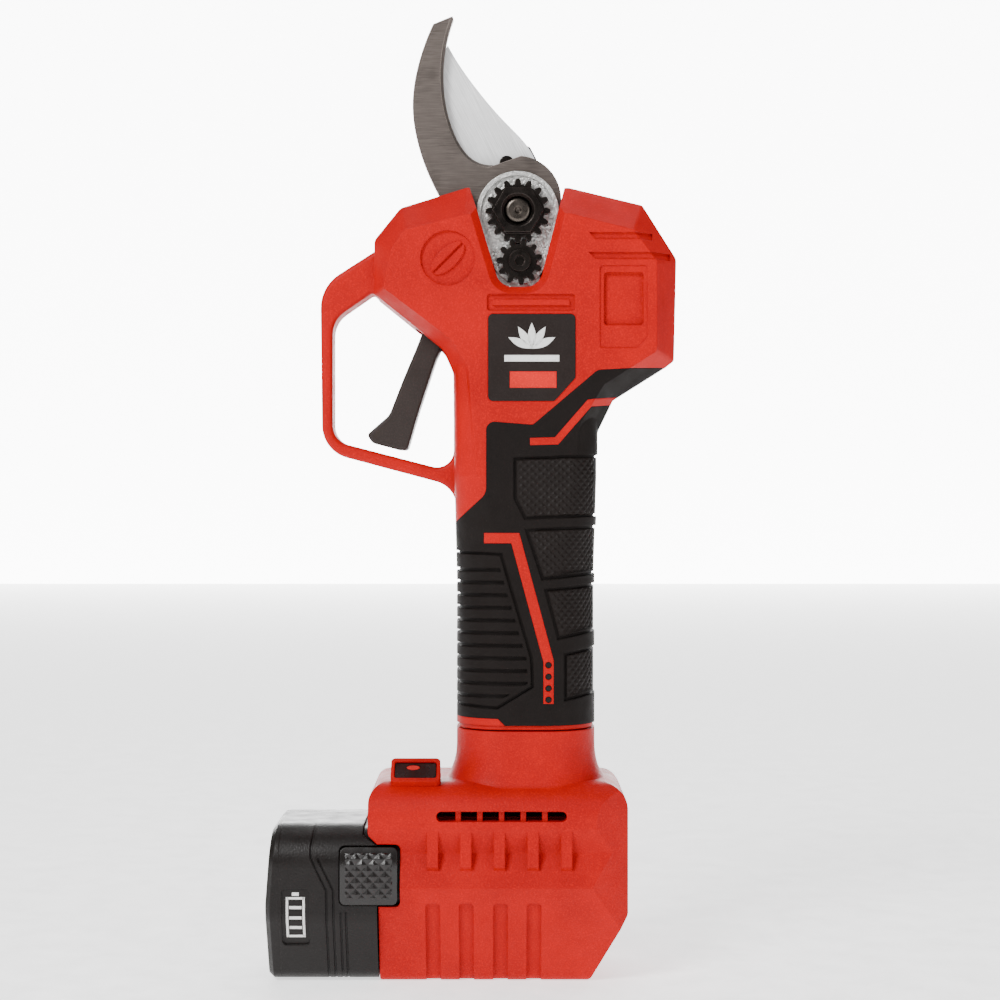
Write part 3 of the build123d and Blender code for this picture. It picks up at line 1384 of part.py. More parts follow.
with BuildPart() as sector_gear:
    plane, thick = along_pivot(SECTOR_FRONT, SECTOR_BACK)
    with BuildSketch(plane):
        with Locations(PIVOT):
            Circle(SECTOR_HUB)
        outline(SECTOR_ARM)
    extrude(amount=thick)
    first = (SECTOR_FROM - 0.5) * SECTOR_PITCH
    radial = sector_direction(first)
    with BuildSketch(Plane(origin=(PIVOT_X, 0, PIVOT_Z), x_dir=radial, z_dir=radial.cross(Vector(0, 1, 0)))):
        inner_root = cone_point(SECTOR_CONE - ROOT_DROP, BEVEL_CONE - BEVEL_FACE)
        outer_root = cone_point(SECTOR_CONE - ROOT_DROP, BEVEL_CONE)
        Polygon(
            (SECTOR_HUB - 1, inner_root[1]),
            inner_root,
            outer_root,
            (outer_root[0] - 0.6, SECTOR_BACK),
            (SECTOR_HUB - 1, SECTOR_BACK),
            align=None,
        )
    revolve(
        axis=Axis((PIVOT_X, 0, PIVOT_Z), (0, -1, 0)),
        revolution_arc=(SECTOR_TO - SECTOR_FROM + 1) * SECTOR_PITCH,
    )
    for index in range(SECTOR_FROM, SECTOR_TO + 1):
        add(bevel_tooth(BEVEL_TEETH, SECTOR_CONE, Vector(0, 1, 0), sector_direction(index * SECTOR_PITCH)))
    with BuildSketch(FRONT):
        with Locations(PIVOT):
            Circle(BOLT_RADIUS + FIT)
        with Locations(DRIVE_PIN):
            Circle(DRIVE_PIN_RADIUS)
    extrude(amount=-SPAN, mode=Mode.SUBTRACT)
finish(sector_gear, "sector_gear")

with BuildPart() as bevel_pinion:
    with BuildSketch(Plane(origin=(PIVOT_X, 0, PIVOT_Z), x_dir=(1, 0, 0), z_dir=(0, -1, 0))):
        inner_root = cone_point(PINION_CONE - ROOT_DROP, BEVEL_CONE - BEVEL_FACE)
        outer_root = cone_point(PINION_CONE - ROOT_DROP, BEVEL_CONE)
        Polygon(
            (0, -inner_root[1]),
            (inner_root[0], -inner_root[1]),
            (outer_root[0], -outer_root[1]),
            (outer_root[0], -outer_root[1] - 1),
            (PINION_SHAFT, -outer_root[1] - 1),
            (PINION_SHAFT, SHAFT_END - PIVOT_Z),
            (0, SHAFT_END - PIVOT_Z),
            align=None,
        )
    revolve(axis=Axis((PIVOT_X, 0, PIVOT_Z), (0, 0, 1)))
    for index in range(PINION_TEETH):
        turn = math.radians((index + 0.5) * PINION_PITCH)
        side = Vector(math.sin(turn), math.cos(turn), 0)
        add(bevel_tooth(PINION_TEETH, PINION_CONE, Vector(0, 0, -1), side))
finish(bevel_pinion, "bevel_pinion")


# ---------------------------------------------------------------- bearings, planetary gearbox, motor
def stack_disc(bottom, top, radius, bore=0.0, x=PIVOT_X, y=0.0):
    """A disc or ring on a vertical axis, from one height to another."""
    with BuildPart() as disc:
        with BuildSketch(Plane.XY.offset(bottom)):
            with Locations((x, y)):
                Circle(radius)
                if bore:
                    Circle(bore, mode=Mode.SUBTRACT)
        extrude(amount=top - bottom)
    return disc.part


with BuildPart() as pinion_bearings:
    add(stack_disc(TUBE_TOP - BEARING_TALL, TUBE_TOP, TUBE_BORE, PINION_SHAFT + FIT))
    add(stack_disc(TUBE_BOTTOM, TUBE_BOTTOM + BEARING_TALL, TUBE_BORE, PINION_SHAFT + FIT))
finish(pinion_bearings, "pinion_bearings")

with BuildPart() as gearbox_case:
    add(stack_disc(CASE_BOTTOM, TUBE_BOTTOM, CASE_RADIUS, CASE_RADIUS - CASE_WALL))
    add(stack_disc(TUBE_BOTTOM - 2 * CASE_WALL, TUBE_BOTTOM, CASE_RADIUS, PINION_SHAFT + CLEAR))
    with BuildSketch(Plane.XY.offset(PLANET_BOTTOM)):
        with Locations((PIVOT_X, 0)):
            Circle(CASE_RADIUS - CASE_WALL / 2)
    extrude(amount=PLANET_TOP - PLANET_BOTTOM)
    with BuildSketch(Plane.XY.offset(PLANET_BOTTOM)):
        with Locations((PIVOT_X, 0)):
            spur_sketch(
                PLANET_MODULE, RING_TEETH, GEAR_ANGLE, PLANET_DEDENDUM, PLANET_ADDENDUM, -PLANET_BACKLASH
            )
    extrude(amount=PLANET_TOP - PLANET_BOTTOM, mode=Mode.SUBTRACT)
finish(gearbox_case, "gearbox_case")

with BuildPart() as sun_gear:
    with BuildSketch(Plane.XY.offset(PLANET_BOTTOM)):
        with Locations((PIVOT_X, 0)):
            spur_sketch(
                PLANET_MODULE, SUN_TEETH, GEAR_ANGLE, PLANET_ADDENDUM, PLANET_DEDENDUM, PLANET_BACKLASH
            )
            Circle(MOTOR_SHAFT, mode=Mode.SUBTRACT)
    extrude(amount=PLANET_TOP - PLANET_BOTTOM)
finish(sun_gear, "sun_gear")

PLANET_ORBIT = PLANET_MODULE * (SUN_TEETH + PLANET_TEETH) / 2
PLANET_ANGLES = [90.0 + 360.0 * index / PLANET_COUNT for index in range(PLANET_COUNT)]


def planet_spot(degrees):
    """A planet's centre, on the carrier's orbit."""
    angle = math.radians(degrees)
    return PIVOT_X + PLANET_ORBIT * math.cos(angle), PLANET_ORBIT * math.sin(angle)


for index, degrees in enumerate(PLANET_ANGLES):
    with BuildPart() as planet_gear:
        with BuildSketch(Plane.XY.offset(PLANET_BOTTOM)):
            with Locations(planet_spot(degrees)):
                spur_sketch(
                    PLANET_MODULE,
                    PLANET_TEETH,
                    GEAR_ANGLE,
                    PLANET_ADDENDUM,
                    PLANET_DEDENDUM,
                    PLANET_BACKLASH,
                    degrees - 90.0,
                )
                Circle(PLANET_PIN + FIT, mode=Mode.SUBTRACT)
        extrude(amount=PLANET_TOP - PLANET_BOTTOM)
    finish(planet_gear, f"planet_gear_{index + 1}")

with BuildPart() as planet_carrier:
    add(stack_disc(SHAFT_END, CARRIER_TOP, PLANET_ORBIT + 2.0, PINION_SHAFT))
    for degrees in PLANET_ANGLES:
        add(stack_disc(PLANET_BOTTOM, CARRIER_TOP, PLANET_PIN, 0.0, *planet_spot(degrees)))
finish(planet_carrier, "planet_carrier")

with BuildPart() as motor_can:
    add(stack_disc(MOTOR_BOTTOM, CASE_BOTTOM, CASE_RADIUS, CASE_RADIUS - CASE_WALL))
    add(stack_disc(CASE_BOTTOM - CASE_WALL, CASE_BOTTOM, CASE_RADIUS, MOTOR_SHAFT + FIT))
finish(motor_can, "motor_can")

with BuildPart() as motor_end_cap:
    add(stack_disc(MOTOR_BOTTOM - CASE_WALL, MOTOR_BOTTOM, CASE_RADIUS, MOTOR_SHAFT + FIT))
finish(motor_end_cap, "motor_end_cap")

with BuildPart() as motor_magnets:
    add(stack_disc(ROTOR_BOTTOM, ROTOR_TOP, CASE_RADIUS - CASE_WALL, ROTOR_RADIUS + CLEAR))
    with BuildSketch(Plane.XY.offset(ROTOR_BOTTOM)):
        with Locations((PIVOT_X, 0)):
            Rectangle(2 * MAGNET_GAP, 2 * CASE_RADIUS)
    extrude(amount=ROTOR_TOP - ROTOR_BOTTOM, mode=Mode.SUBTRACT)
finish(motor_magnets, "motor_magnets")

with BuildPart() as motor_rotor:
    add(stack_disc(ROTOR_BOTTOM, ROTOR_TOP, ROTOR_RADIUS))
    add(stack_disc(MOTOR_BOTTOM - CASE_WALL, PLANET_TOP, MOTOR_SHAFT))
finish(motor_rotor, "motor_rotor")


# ---------------------------------------------------------------- trigger and switch
with BuildPart() as trigger:
    with BuildSketch(FRONT):
        outline(TRIGGER)
        with Locations(TRIGGER_AXIS):
            Circle(TRIGGER_PIN + FIT, mode=Mode.SUBTRACT)
    extrude(amount=TRIGGER_HALF, both=True)
    fillet(trigger.faces().filter_by(Axis.Y).edges().filter_by(GeomType.CIRCLE, reverse=True), TRIGGER_ROUND)
    with BuildSketch(FRONT):
        with Locations(TRIGGER_AXIS):
            Circle(SPRING_ROOM)
    extrude(amount=SPRING_HALF + CLEAR, both=True, mode=Mode.SUBTRACT)
finish(trigger, "trigger")

with BuildPart() as trigger_pin:
    with BuildSketch(FRONT):
        with Locations(TRIGGER_AXIS):
            Circle(TRIGGER_PIN)
    extrude(amount=TRIGGER_HALF + TRIGGER_PIN_GRIP, both=True)
finish(trigger_pin, "trigger_pin")

with BuildPart() as trigger_spring:
    with BuildLine() as coil:
        Helix(
            pitch=SPRING_PITCH,
            height=2 * SPRING_HALF - SPRING_WIRE,
            radius=SPRING_RADIUS,
            center=(TRIGGER_AXIS[0], SPRING_HALF - SPRING_WIRE / 2, TRIGGER_AXIS[1]),
            direction=(0, -1, 0),
        )
    with BuildSketch(Plane(origin=coil.edges()[0] @ 0, z_dir=coil.edges()[0] % 0)):
        Circle(SPRING_WIRE / 2)
    sweep(path=coil.edges()[0])
finish(trigger_spring, "trigger_spring")

with BuildPart() as trigger_switch:
    with BuildSketch(FRONT):
        with Locations(SWITCH[:2]):
            Rectangle(*SWITCH[2:])
    extrude(amount=SWITCH_HALF, both=True)
    with BuildSketch(Plane.YZ.offset(SWITCH[0] + SWITCH[2] / 2)):
        with Locations((0, SWITCH[1])):
            Circle(PLUNGER_RADIUS)
    extrude(amount=PLUNGER_LONG)
finish(trigger_switch, "trigger_switch")


# ---------------------------------------------------------------- electronics and leads
with BuildPart() as control_board:
    with BuildSketch(FRONT.offset(-BOARD_BACK)):
        with Locations(BOARD[:2]):
            Rectangle(*BOARD[2:])
    extrude(amount=BOARD_THICK)
    with BuildSketch(FRONT.offset(-BOARD_BACK + BOARD_THICK)):
        with Locations((BOARD[0], BOARD[1])):
            with GridLocations(BOARD[2] / 3, BOARD[3] / 2, 3, 2):
                Rectangle(BOARD[2] / 5, BOARD[3] / 4)
    extrude(amount=CHIP_TALL)
finish(control_board, "control_board")

with BuildPart() as pack_board:
    with BuildSketch(Plane.YZ.offset(PACK_BOARD_X)):
        with Locations((0, CELLS[0][1])):
            Rectangle(*PACK_BOARD)
    extrude(amount=BOARD_THICK)
finish(pack_board, "pack_board")


def lead(points, bend):
    """One insulated wire along straight runs and arcs."""
    with BuildPart() as wire:
        with BuildLine() as path:
            if bend:
                FilletPolyline(*points, radius=bend)
            else:
                Polyline(*points)
        with BuildSketch(Plane(origin=path.wire() @ 0, z_dir=path.wire() % 0)):
            Circle(LEAD_RADIUS)
        sweep(path=path.wire())
    return wire.part


with BuildPart() as motor_leads:
    for x in LEAD_X:
        add(lead([(x, LEAD_Y, BOARD_TOP_EDGE), (x, LEAD_Y, MOTOR_BOTTOM - CASE_WALL)], 0))
finish(motor_leads, "motor_leads")

with BuildPart() as battery_leads:
    for index, x in enumerate(LEAD_X):
        y = LEAD_Y - index * 3 * LEAD_RADIUS
        add(lead([(x, y, BOARD_BOTTOM_EDGE), (x, y, LEAD_RUN_Z), (LEAD_END_X, y, LEAD_RUN_Z)], LEAD_BEND))
finish(battery_leads, "battery_leads")
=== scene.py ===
import math

import bmesh
import bpy
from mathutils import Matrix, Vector
from mathutils.bvhtree import BVHTree


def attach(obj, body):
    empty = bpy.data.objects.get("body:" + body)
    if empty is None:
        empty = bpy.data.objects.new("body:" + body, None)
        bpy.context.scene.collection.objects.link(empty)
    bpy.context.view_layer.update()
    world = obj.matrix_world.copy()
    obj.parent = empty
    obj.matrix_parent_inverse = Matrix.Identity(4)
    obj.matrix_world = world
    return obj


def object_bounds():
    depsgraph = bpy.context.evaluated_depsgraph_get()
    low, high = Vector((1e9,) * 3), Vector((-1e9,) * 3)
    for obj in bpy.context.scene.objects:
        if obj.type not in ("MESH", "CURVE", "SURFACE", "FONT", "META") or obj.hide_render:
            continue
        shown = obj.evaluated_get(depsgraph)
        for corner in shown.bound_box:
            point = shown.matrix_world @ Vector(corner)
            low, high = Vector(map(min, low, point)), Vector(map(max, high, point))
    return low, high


# Looks of the battery pruner, in the frame of the CAD model: +Z runs up the grip to the blades and -Y
# is the front. Shapes are worked out in millimetres and then placed in metres.

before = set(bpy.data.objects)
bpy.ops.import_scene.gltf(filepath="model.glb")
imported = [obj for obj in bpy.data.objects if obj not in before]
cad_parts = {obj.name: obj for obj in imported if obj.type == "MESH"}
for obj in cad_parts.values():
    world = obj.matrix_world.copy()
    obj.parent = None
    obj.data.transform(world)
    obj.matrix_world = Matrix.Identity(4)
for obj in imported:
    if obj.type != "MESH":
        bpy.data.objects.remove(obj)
cad_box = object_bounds()

# ---------------------------------------------------------------- driving values
MM = 0.001
FRONT = -1.0
BACK = 1.0
SIDES = ((FRONT, "front"), (BACK, "rear"))

# Colours, as linear red, green and blue
RED = (0.370, 0.0008, 0.0004)
RUBBER = (0.0045, 0.0026, 0.0020)
BLACK = (0.0040, 0.0024, 0.0019)
BADGE_BLACK = (0.014, 0.0095, 0.0085)
TRIGGER_GREY = (0.026, 0.020, 0.018)
LENS_BLACK = (0.003, 0.002, 0.002)
PRINT_WHITE = (0.72, 0.71, 0.69)
PRINT_RED = (0.52, 0.012, 0.010)
CELL_BLUE = (0.035, 0.170, 0.380)
BOARD_GREEN = (0.018, 0.140, 0.060)
LEAD_RED = (0.420, 0.030, 0.030)
HOOK_GREY = (0.140, 0.118, 0.106)
# The blade's near white is a painted reflection of the pale studio on its bright steel
BLADE_REFLECTION_WHITE = (0.97, 0.97, 0.97)
STEEL = (0.50, 0.50, 0.49)
ALUMINIUM = (0.62, 0.61, 0.59)
OXIDE = (0.024, 0.020, 0.018)
BOLT_GREY = (0.085, 0.072, 0.062)
MAGNET_GREY = (0.100, 0.100, 0.100)
COPPER = (0.72, 0.40, 0.20)
PALE = (0.86, 0.86, 0.86)
WHITE = (1.0, 1.0, 1.0, 1.0)

# Edges: how they round, and how far the rounded normal leaves the flat one on them
BEVEL_SAMPLES = 4
EDGE_DOT = (0.80, 0.985)
PLASTIC_EDGE = 0.5
METAL_EDGE = 0.35

# Moulded surfaces
CLOUD = 14.0
CLOUD_TONES = (0.88, 1.10)
SPECK_DETAIL = 2.0
# Lighter specks painted on the sand grain as glints: their tone, share and limits
GLINT_SPECK_TONE = 1.6
GLINT_SPECK_SHARE = 0.55
GLINT_SPECK_LIMITS = (0.5, 0.72)
# Share of the lighter edges of plastics: a painted highlight, with some polish
PLASTIC_EDGE_SHARE = 0.45
FLAT_FACE = (0.93, 0.995)
SLANT_GRAIN = 0.30
ROUGH_PATCH = 5.0
ROUGH_SPREAD = 0.07
COAT_ROUGH = 0.25

# Metal surfaces. A stain is a darker tone and the most of it that shows.
LINE_WIDE = 0.16
LINE_DETAIL = 4.0
LINE_TONES = (0.66, 1.25)
BROAD = 7.0
BROAD_DETAIL = 2.0
BROAD_STAIN = (0.70, 0.6)
PIT_DETAIL = 5.0
PIT_TONES = (0.62, 1.15)
BLOTCH = 3.0
BLOTCH_DETAIL = 4.0
BLOTCH_STAIN = (0.75, 0.7)
STAIN_LIMITS = (0.45, 0.7)
# Share of the brighter edges of metals: wear, and a painted highlight along them
METAL_EDGE_SHARE = 0.8
GROUND_ROUGH = (-0.06, 0.10)
CAST_ROUGH = (-0.10, 0.12)

# Diamond skins: their margin inside the pad, their gap over it, and the steps of their soft rim
KNURL_MARGIN = 0.55
KNURL_GAP = 0.03
KNURL_RIM = 2.0
PAD_RIGHT = 20.1
PADS = [
    [(-3.3, 153.0), (PAD_RIGHT, 153.9), (PAD_RIGHT, 136.6), (-0.3, 135.7), (-3.3, 141.7)],
    [(0.1, 132.2), (PAD_RIGHT, 133.1), (PAD_RIGHT, 120.6), (4.8, 118.0)],
    [(5.7, 114.7), (PAD_RIGHT, 116.1), (PAD_RIGHT, 103.6), (9.4, 100.7)],
    [(11.4, 95.9), (PAD_RIGHT, 97.5), (PAD_RIGHT, 85.5), (11.4, 82.7)],
]
PAD_DIAMONDS = {"pitch": 2.3, "height": 0.45, "step": 0.33, "squeeze": 1.6}
LATCH_PAD = [(-53.0, 25.2), (-38.2, 25.2), (-38.2, 39.6), (-53.0, 39.6)]
LATCH_DIAMONDS = {"pitch": 3.4, "height": 0.55, "step": 0.25, "squeeze": 1.0}

# Flat marks: x and z of the middle, then width and height
MARK_THICK = 0.08
LEAF_STEPS = 10
ELLIPSE_STEPS = 24
BAR_PIECES = 12
SPRIG_FOOT = (1.6, 185.0)
SPRIG_TURNS = (-64, -32, 0, 32, 64)
SPRIG_LEAF = (7.6, 2.3)
WHITE_BAR = (1.6, 182.2, 16.0, 1.9)
RED_BAR = (2.0, 176.0, 13.6, 4.8)
SIGN_X = -66.8
SIGN_Z = 20.2
SIGN_LEVELS = (0.0, 3.0, -3.0)
SIGN_LEVEL = (3.6, 0.9)
SIGN_RAIL_X = 2.4
SIGN_RAIL = (0.7, 12.1)
SIGN_END_Z = 5.7
SIGN_END = (4.8, 0.7)
SIGN_POLE_Z = 6.9
SIGN_POLE = (2.0, 1.0)
POWER_LIGHT = (-33.0, 62.7, 1.9, 0.55)

# Studio, in metres and watts
MIDDLE = (-0.012, 0.0, 0.14)
KEY = {"place": (-0.55, -0.80, 0.85), "size": 0.40, "power": 16.0}
FILL = {"place": (0.90, -0.70, 0.30), "size": 0.6, "power": 3.0}
TOP = {"place": (0.10, 0.35, 1.10), "size": 0.7, "power": 4.0}
WORLD_GLOW = 0.36
SHEET_CELLS = 4
FLOOR_HALF = 6.0
FLOOR_GLOW = 1.2
WALL_Y = 3.0
WALL_HALF = 1.7
WALL_GLOW = 9.0
LENS = 78.0
SENSOR = 36.0
CAMERA = (-0.00765, -0.650, 0.141)


# ---------------------------------------------------------------- building blocks of a material
class Finish:
    """A material under construction: its node tree, its shader, and the normal built up so far."""

    def __init__(self, name):
        self.material = bpy.data.materials.new(name)
        self.material.use_nodes = True
        self.tree = self.material.node_tree
        self.tree.nodes.clear()
        output = self.node("ShaderNodeOutputMaterial")
        self.shader = self.node("ShaderNodeBsdfPrincipled")
        self.link(self.shader.outputs["BSDF"], output.inputs["Surface"])
        self.normal = None

    def node(self, kind):
        return self.tree.nodes.new(kind)

    def link(self, source, target):
        self.tree.links.new(source, target)

    def noise(self, size, turn=0.0, detail=3.0):
        """Noise whose lumps measure size = (x, y, z) in millimetres, turned about Y by turn degrees."""
        place = self.node("ShaderNodeTexCoord")
        mapping = self.node("ShaderNodeMapping")
        mapping.vector_type = "TEXTURE"
        mapping.inputs["Scale"].default_value = [side * MM for side in size]
        mapping.inputs["Rotation"].default_value = (0.0, math.radians(turn), 0.0)
        texture = self.node("ShaderNodeTexNoise")
        texture.inputs["Scale"].default_value = 1.0
        texture.inputs["Detail"].default_value = detail
        self.link(place.outputs["Object"], mapping.inputs["Vector"])
        self.link(mapping.outputs["Vector"], texture.inputs["Vector"])
        return texture.outputs["Fac"]

    def spread(self, value, low, high, start=0.3, end=0.7):
        """The value from start to end, stretched to run from low to high."""
        stretch = self.node("ShaderNodeMapRange")
        stretch.inputs["From Min"].default_value = start
        stretch.inputs["From Max"].default_value = end
        stretch.inputs["To Min"].default_value = low
        stretch.inputs["To Max"].default_value = high
        self.link(value, stretch.inputs["Value"])
        return stretch.outputs["Result"]

    def share(self, mask, most):
        """A mask that runs from 0 to 1, weakened to run from 0 to most."""
        return self.spread(mask, 0.0, most, 0.0, 1.0)

    def blend_colours(self, first, second, factor):
        """A mix of two colours, which are tuples or sockets."""
        mix = self.node("ShaderNodeMix")
        mix.data_type = "RGBA"
        self.link(factor, mix.inputs["Factor"])
        for socket, colour in ((mix.inputs[6], first), (mix.inputs[7], second)):
            if isinstance(colour, tuple):
                socket.default_value = (*colour, 1.0)
            else:
                self.link(colour, socket)
        return mix.outputs[2]

    def two_tones(self, colour, tones, value):
        """A colour that wanders between a darker and a lighter tone of itself."""
        dark, light = tones
        factor = self.spread(value, 0.0, 1.0)
        return self.blend_colours(lighter(colour, dark), lighter(colour, light), factor)

    def rounded(self, radius):
        """Rounds the look of sharp edges, and returns a mask that is 1 on them."""
        bevel = self.node("ShaderNodeBevel")
        bevel.samples = BEVEL_SAMPLES
        bevel.inputs["Radius"].default_value = radius * MM
        geometry = self.node("ShaderNodeNewGeometry")
        dot = self.node("ShaderNodeVectorMath")
        dot.operation = "DOT_PRODUCT"
        self.link(bevel.outputs["Normal"], dot.inputs[0])
        self.link(geometry.outputs["Normal"], dot.inputs[1])
        self.normal = bevel.outputs["Normal"]
        return self.spread(dot.outputs["Value"], 1.0, 0.0, *EDGE_DOT)

    def facing(self, limits):
        """A mask that is 1 on faces that look straight to the front or back, and 0 on slanted ones."""
        geometry = self.node("ShaderNodeNewGeometry")
        split = self.node("ShaderNodeSeparateXYZ")
        size = self.node("ShaderNodeMath")
        size.operation = "ABSOLUTE"
        self.link(geometry.outputs["Normal"], split.inputs["Vector"])
        self.link(split.outputs["Y"], size.inputs[0])
        return self.spread(size.outputs["Value"], 0.0, 1.0, *limits)

    def bump(self, height, depth, strength=None):
        """Adds relief of the given depth in millimetres, everywhere or as strong as a mask says."""
        relief = self.node("ShaderNodeBump")
        relief.inputs["Distance"].default_value = depth * MM
        relief.inputs["Strength"].default_value = 1.0
        if strength is not None:
            self.link(strength, relief.inputs["Strength"])
        self.link(height, relief.inputs["Height"])
        if self.normal is not None:
            self.link(self.normal, relief.inputs["Normal"])
        self.normal = relief.outputs["Normal"]

    def set(self, socket, value):
        self.shader.inputs[socket].default_value = value

    def colour(self, value):
        self.link(value, self.shader.inputs["Base Color"])

    def roughness(self, value):
        self.link(value, self.shader.inputs["Roughness"])

    def done(self):
        if self.normal is not None:
            self.link(self.normal, self.shader.inputs["Normal"])
        return self.material


def lighter(colour, factor):
    return tuple(min(channel * factor, 1.0) for channel in colour)


def moulded(name, colour, rough, grain, deep, edge=1.5, coat=0.0, shine=0.13, face_only=False):
    """Moulded plastic or rubber: sand grain with painted glints, faint flow marks, edges painted
    lighter for polish and highlight.

    grain and deep are the sand's lump size and depth in millimetres, and edge is how much lighter
    the edges are. With face_only the grain is weak on slanted faces.
    """
    finish = Finish(name)
    edges = finish.rounded(PLASTIC_EDGE)
    cloud = finish.noise((CLOUD, CLOUD, CLOUD))
    fine = finish.noise((grain, grain, grain), detail=SPECK_DETAIL)
    tone_mix = finish.two_tones(colour, CLOUD_TONES, cloud)
    # Lighter specks over the grain are painted glints
    glint_specks = finish.spread(fine, 0.0, GLINT_SPECK_SHARE, *GLINT_SPECK_LIMITS)
    glint_speckled = finish.blend_colours(tone_mix, lighter(colour, GLINT_SPECK_TONE), glint_specks)
    # Lighter edges: a painted highlight along them, with some polish
    polish_and_highlight = finish.share(edges, PLASTIC_EDGE_SHARE)
    finish.colour(finish.blend_colours(glint_speckled, lighter(colour, edge), polish_and_highlight))
    finish.set("Specular IOR Level", shine)
    if face_only:
        finish.bump(fine, deep, finish.spread(finish.facing(FLAT_FACE), SLANT_GRAIN, 1.0, 0.0, 1.0))
    else:
        finish.bump(fine, deep)
    patches = finish.noise((ROUGH_PATCH, ROUGH_PATCH, ROUGH_PATCH))
    finish.roughness(finish.spread(patches, rough - ROUGH_SPREAD, rough + ROUGH_SPREAD))
    finish.set("Coat Weight", coat)
    finish.set("Coat Roughness", COAT_ROUGH)
    return finish.done()


def stained_metal(finish, colour, tone, patches, stain, edges, edge):
    """Colours a metal: its tone, darker stains in patches, and edges brighter from wear and a painted
    highlight.
    """
    dark, most = stain
    stains = finish.spread(patches, 0.0, most, *STAIN_LIMITS)
    stained = finish.blend_colours(tone, lighter(colour, dark), stains)
    # The brighter edges are partly wear and partly a painted highlight
    tone_mix = finish.share(edges, METAL_EDGE_SHARE)
    finish.colour(finish.blend_colours(stained, lighter(colour, edge), tone_mix))


def ground(name, colour, rough, along, turn, deep, edge=1.6, metallic=1.0):
    """Ground steel: fine lines of the length along (mm), turned about Y, and edges painted bright as
    wear and highlight.
    """
    finish = Finish(name)
    edges = finish.rounded(METAL_EDGE)
    lines = finish.noise((along, LINE_WIDE, LINE_WIDE), turn, detail=LINE_DETAIL)
    broad = finish.noise((BROAD, BROAD, BROAD), turn, detail=BROAD_DETAIL)
    tone = finish.two_tones(colour, LINE_TONES, lines)
    stained_metal(finish, colour, tone, broad, BROAD_STAIN, edges, edge)
    finish.bump(lines, deep)
    finish.roughness(finish.spread(broad, rough + GROUND_ROUGH[0], rough + GROUND_ROUGH[1]))
    finish.set("Metallic", metallic)
    return finish.done()


def cast(name, colour, rough, lump, deep, edge=1.2):
    """Cast or blackened metal: pitted skin, blotches of tone, and edges brighter from wear and a
    painted highlight.
    """
    finish = Finish(name)
    edges = finish.rounded(METAL_EDGE)
    pits = finish.noise((lump, lump, lump), detail=PIT_DETAIL)
    blotch = finish.noise((BLOTCH, BLOTCH, BLOTCH), detail=BLOTCH_DETAIL)
    tone = finish.two_tones(colour, PIT_TONES, pits)
    stained_metal(finish, colour, tone, blotch, BLOTCH_STAIN, edges, edge)
    finish.bump(pits, deep)
    finish.roughness(finish.spread(blotch, rough + CAST_ROUGH[0], rough + CAST_ROUGH[1]))
    finish.set("Metallic", 1.0)
    return finish.done()


def glowing(name, strength):
    """A pale matt surface that glows softly, as a lit studio sheet does."""
    pale = moulded(name, PALE, rough=0.80, grain=4.0, deep=0.02, edge=1.0)
    shader = next(node for node in pale.node_tree.nodes if node.type == "BSDF_PRINCIPLED")
    shader.inputs["Emission Color"].default_value = WHITE
    shader.inputs["Emission Strength"].default_value = strength
    return pale


# ---------------------------------------------------------------- plastics and rubber
red_head = moulded("red_head", RED, rough=0.50, grain=0.42, deep=0.13, face_only=True)
red_base = moulded("red_base", RED, rough=0.50, grain=0.42, deep=0.15)
rubber = moulded("grip_rubber", RUBBER, rough=0.62, grain=0.30, deep=0.06, edge=2.2)
knurl = moulded("grip_knurl", lighter(RUBBER, 1.2), rough=0.50, grain=0.25, deep=0.03, edge=2.5)
badge_plate = moulded("badge_plate", BADGE_BLACK, rough=0.45, grain=0.35, deep=0.05)
black_plastic = moulded("black_plastic", BLACK, rough=0.40, grain=0.50, deep=0.09, edge=2.5, shine=0.24)
trigger_plastic = moulded("trigger_plastic", TRIGGER_GREY, rough=0.42, grain=0.40, deep=0.09, edge=2.2)
gloss_black = moulded(
    "gloss_black", BLACK, rough=0.24, grain=0.60, deep=0.02, edge=3.0, coat=0.3, shine=0.30
)
light_pipe = moulded("light_pipe", LENS_BLACK, rough=0.16, grain=0.90, deep=0.01, coat=0.1)
print_white = moulded("print_white", PRINT_WHITE, rough=0.50, grain=0.30, deep=0.02, edge=1.0)
print_red = moulded("print_red", PRINT_RED, rough=0.50, grain=0.30, deep=0.02, edge=1.1)
cell_wrap = moulded("cell_wrap", CELL_BLUE, rough=0.25, grain=2.50, deep=0.04, coat=0.5)
board_green = moulded("board_green", BOARD_GREEN, rough=0.35, grain=0.80, deep=0.05, coat=0.3)
lead_red = moulded("lead_insulation", LEAD_RED, rough=0.45, grain=0.50, deep=0.03)

# ---------------------------------------------------------------- metals
hook_steel = ground("hook_steel", HOOK_GREY, rough=0.42, along=5.0, turn=0.0, deep=0.020, edge=4.5)
# Near white and barely metallic: the steel's reflection of the pale studio is painted into its colour
blade_steel = ground(
    "blade_steel", BLADE_REFLECTION_WHITE, rough=0.34, along=9.0, turn=62.0, deep=0.012, edge=1.1, metallic=0.25
)
turned_steel = ground("turned_steel", STEEL, rough=0.32, along=3.0, turn=0.0, deep=0.010)
aluminium = cast("cast_aluminium", ALUMINIUM, rough=0.34, lump=0.9, deep=0.34)
black_oxide = cast("black_oxide", OXIDE, rough=0.36, lump=0.35, deep=0.05, edge=4.5)
bolt_steel = cast("bolt_steel", BOLT_GREY, rough=0.30, lump=0.30, deep=0.04, edge=2.5)
magnet = cast("magnet", MAGNET_GREY, rough=0.55, lump=0.30, deep=0.04)
copper = cast("contact_copper", COPPER, rough=0.34, lump=0.60, deep=0.02)

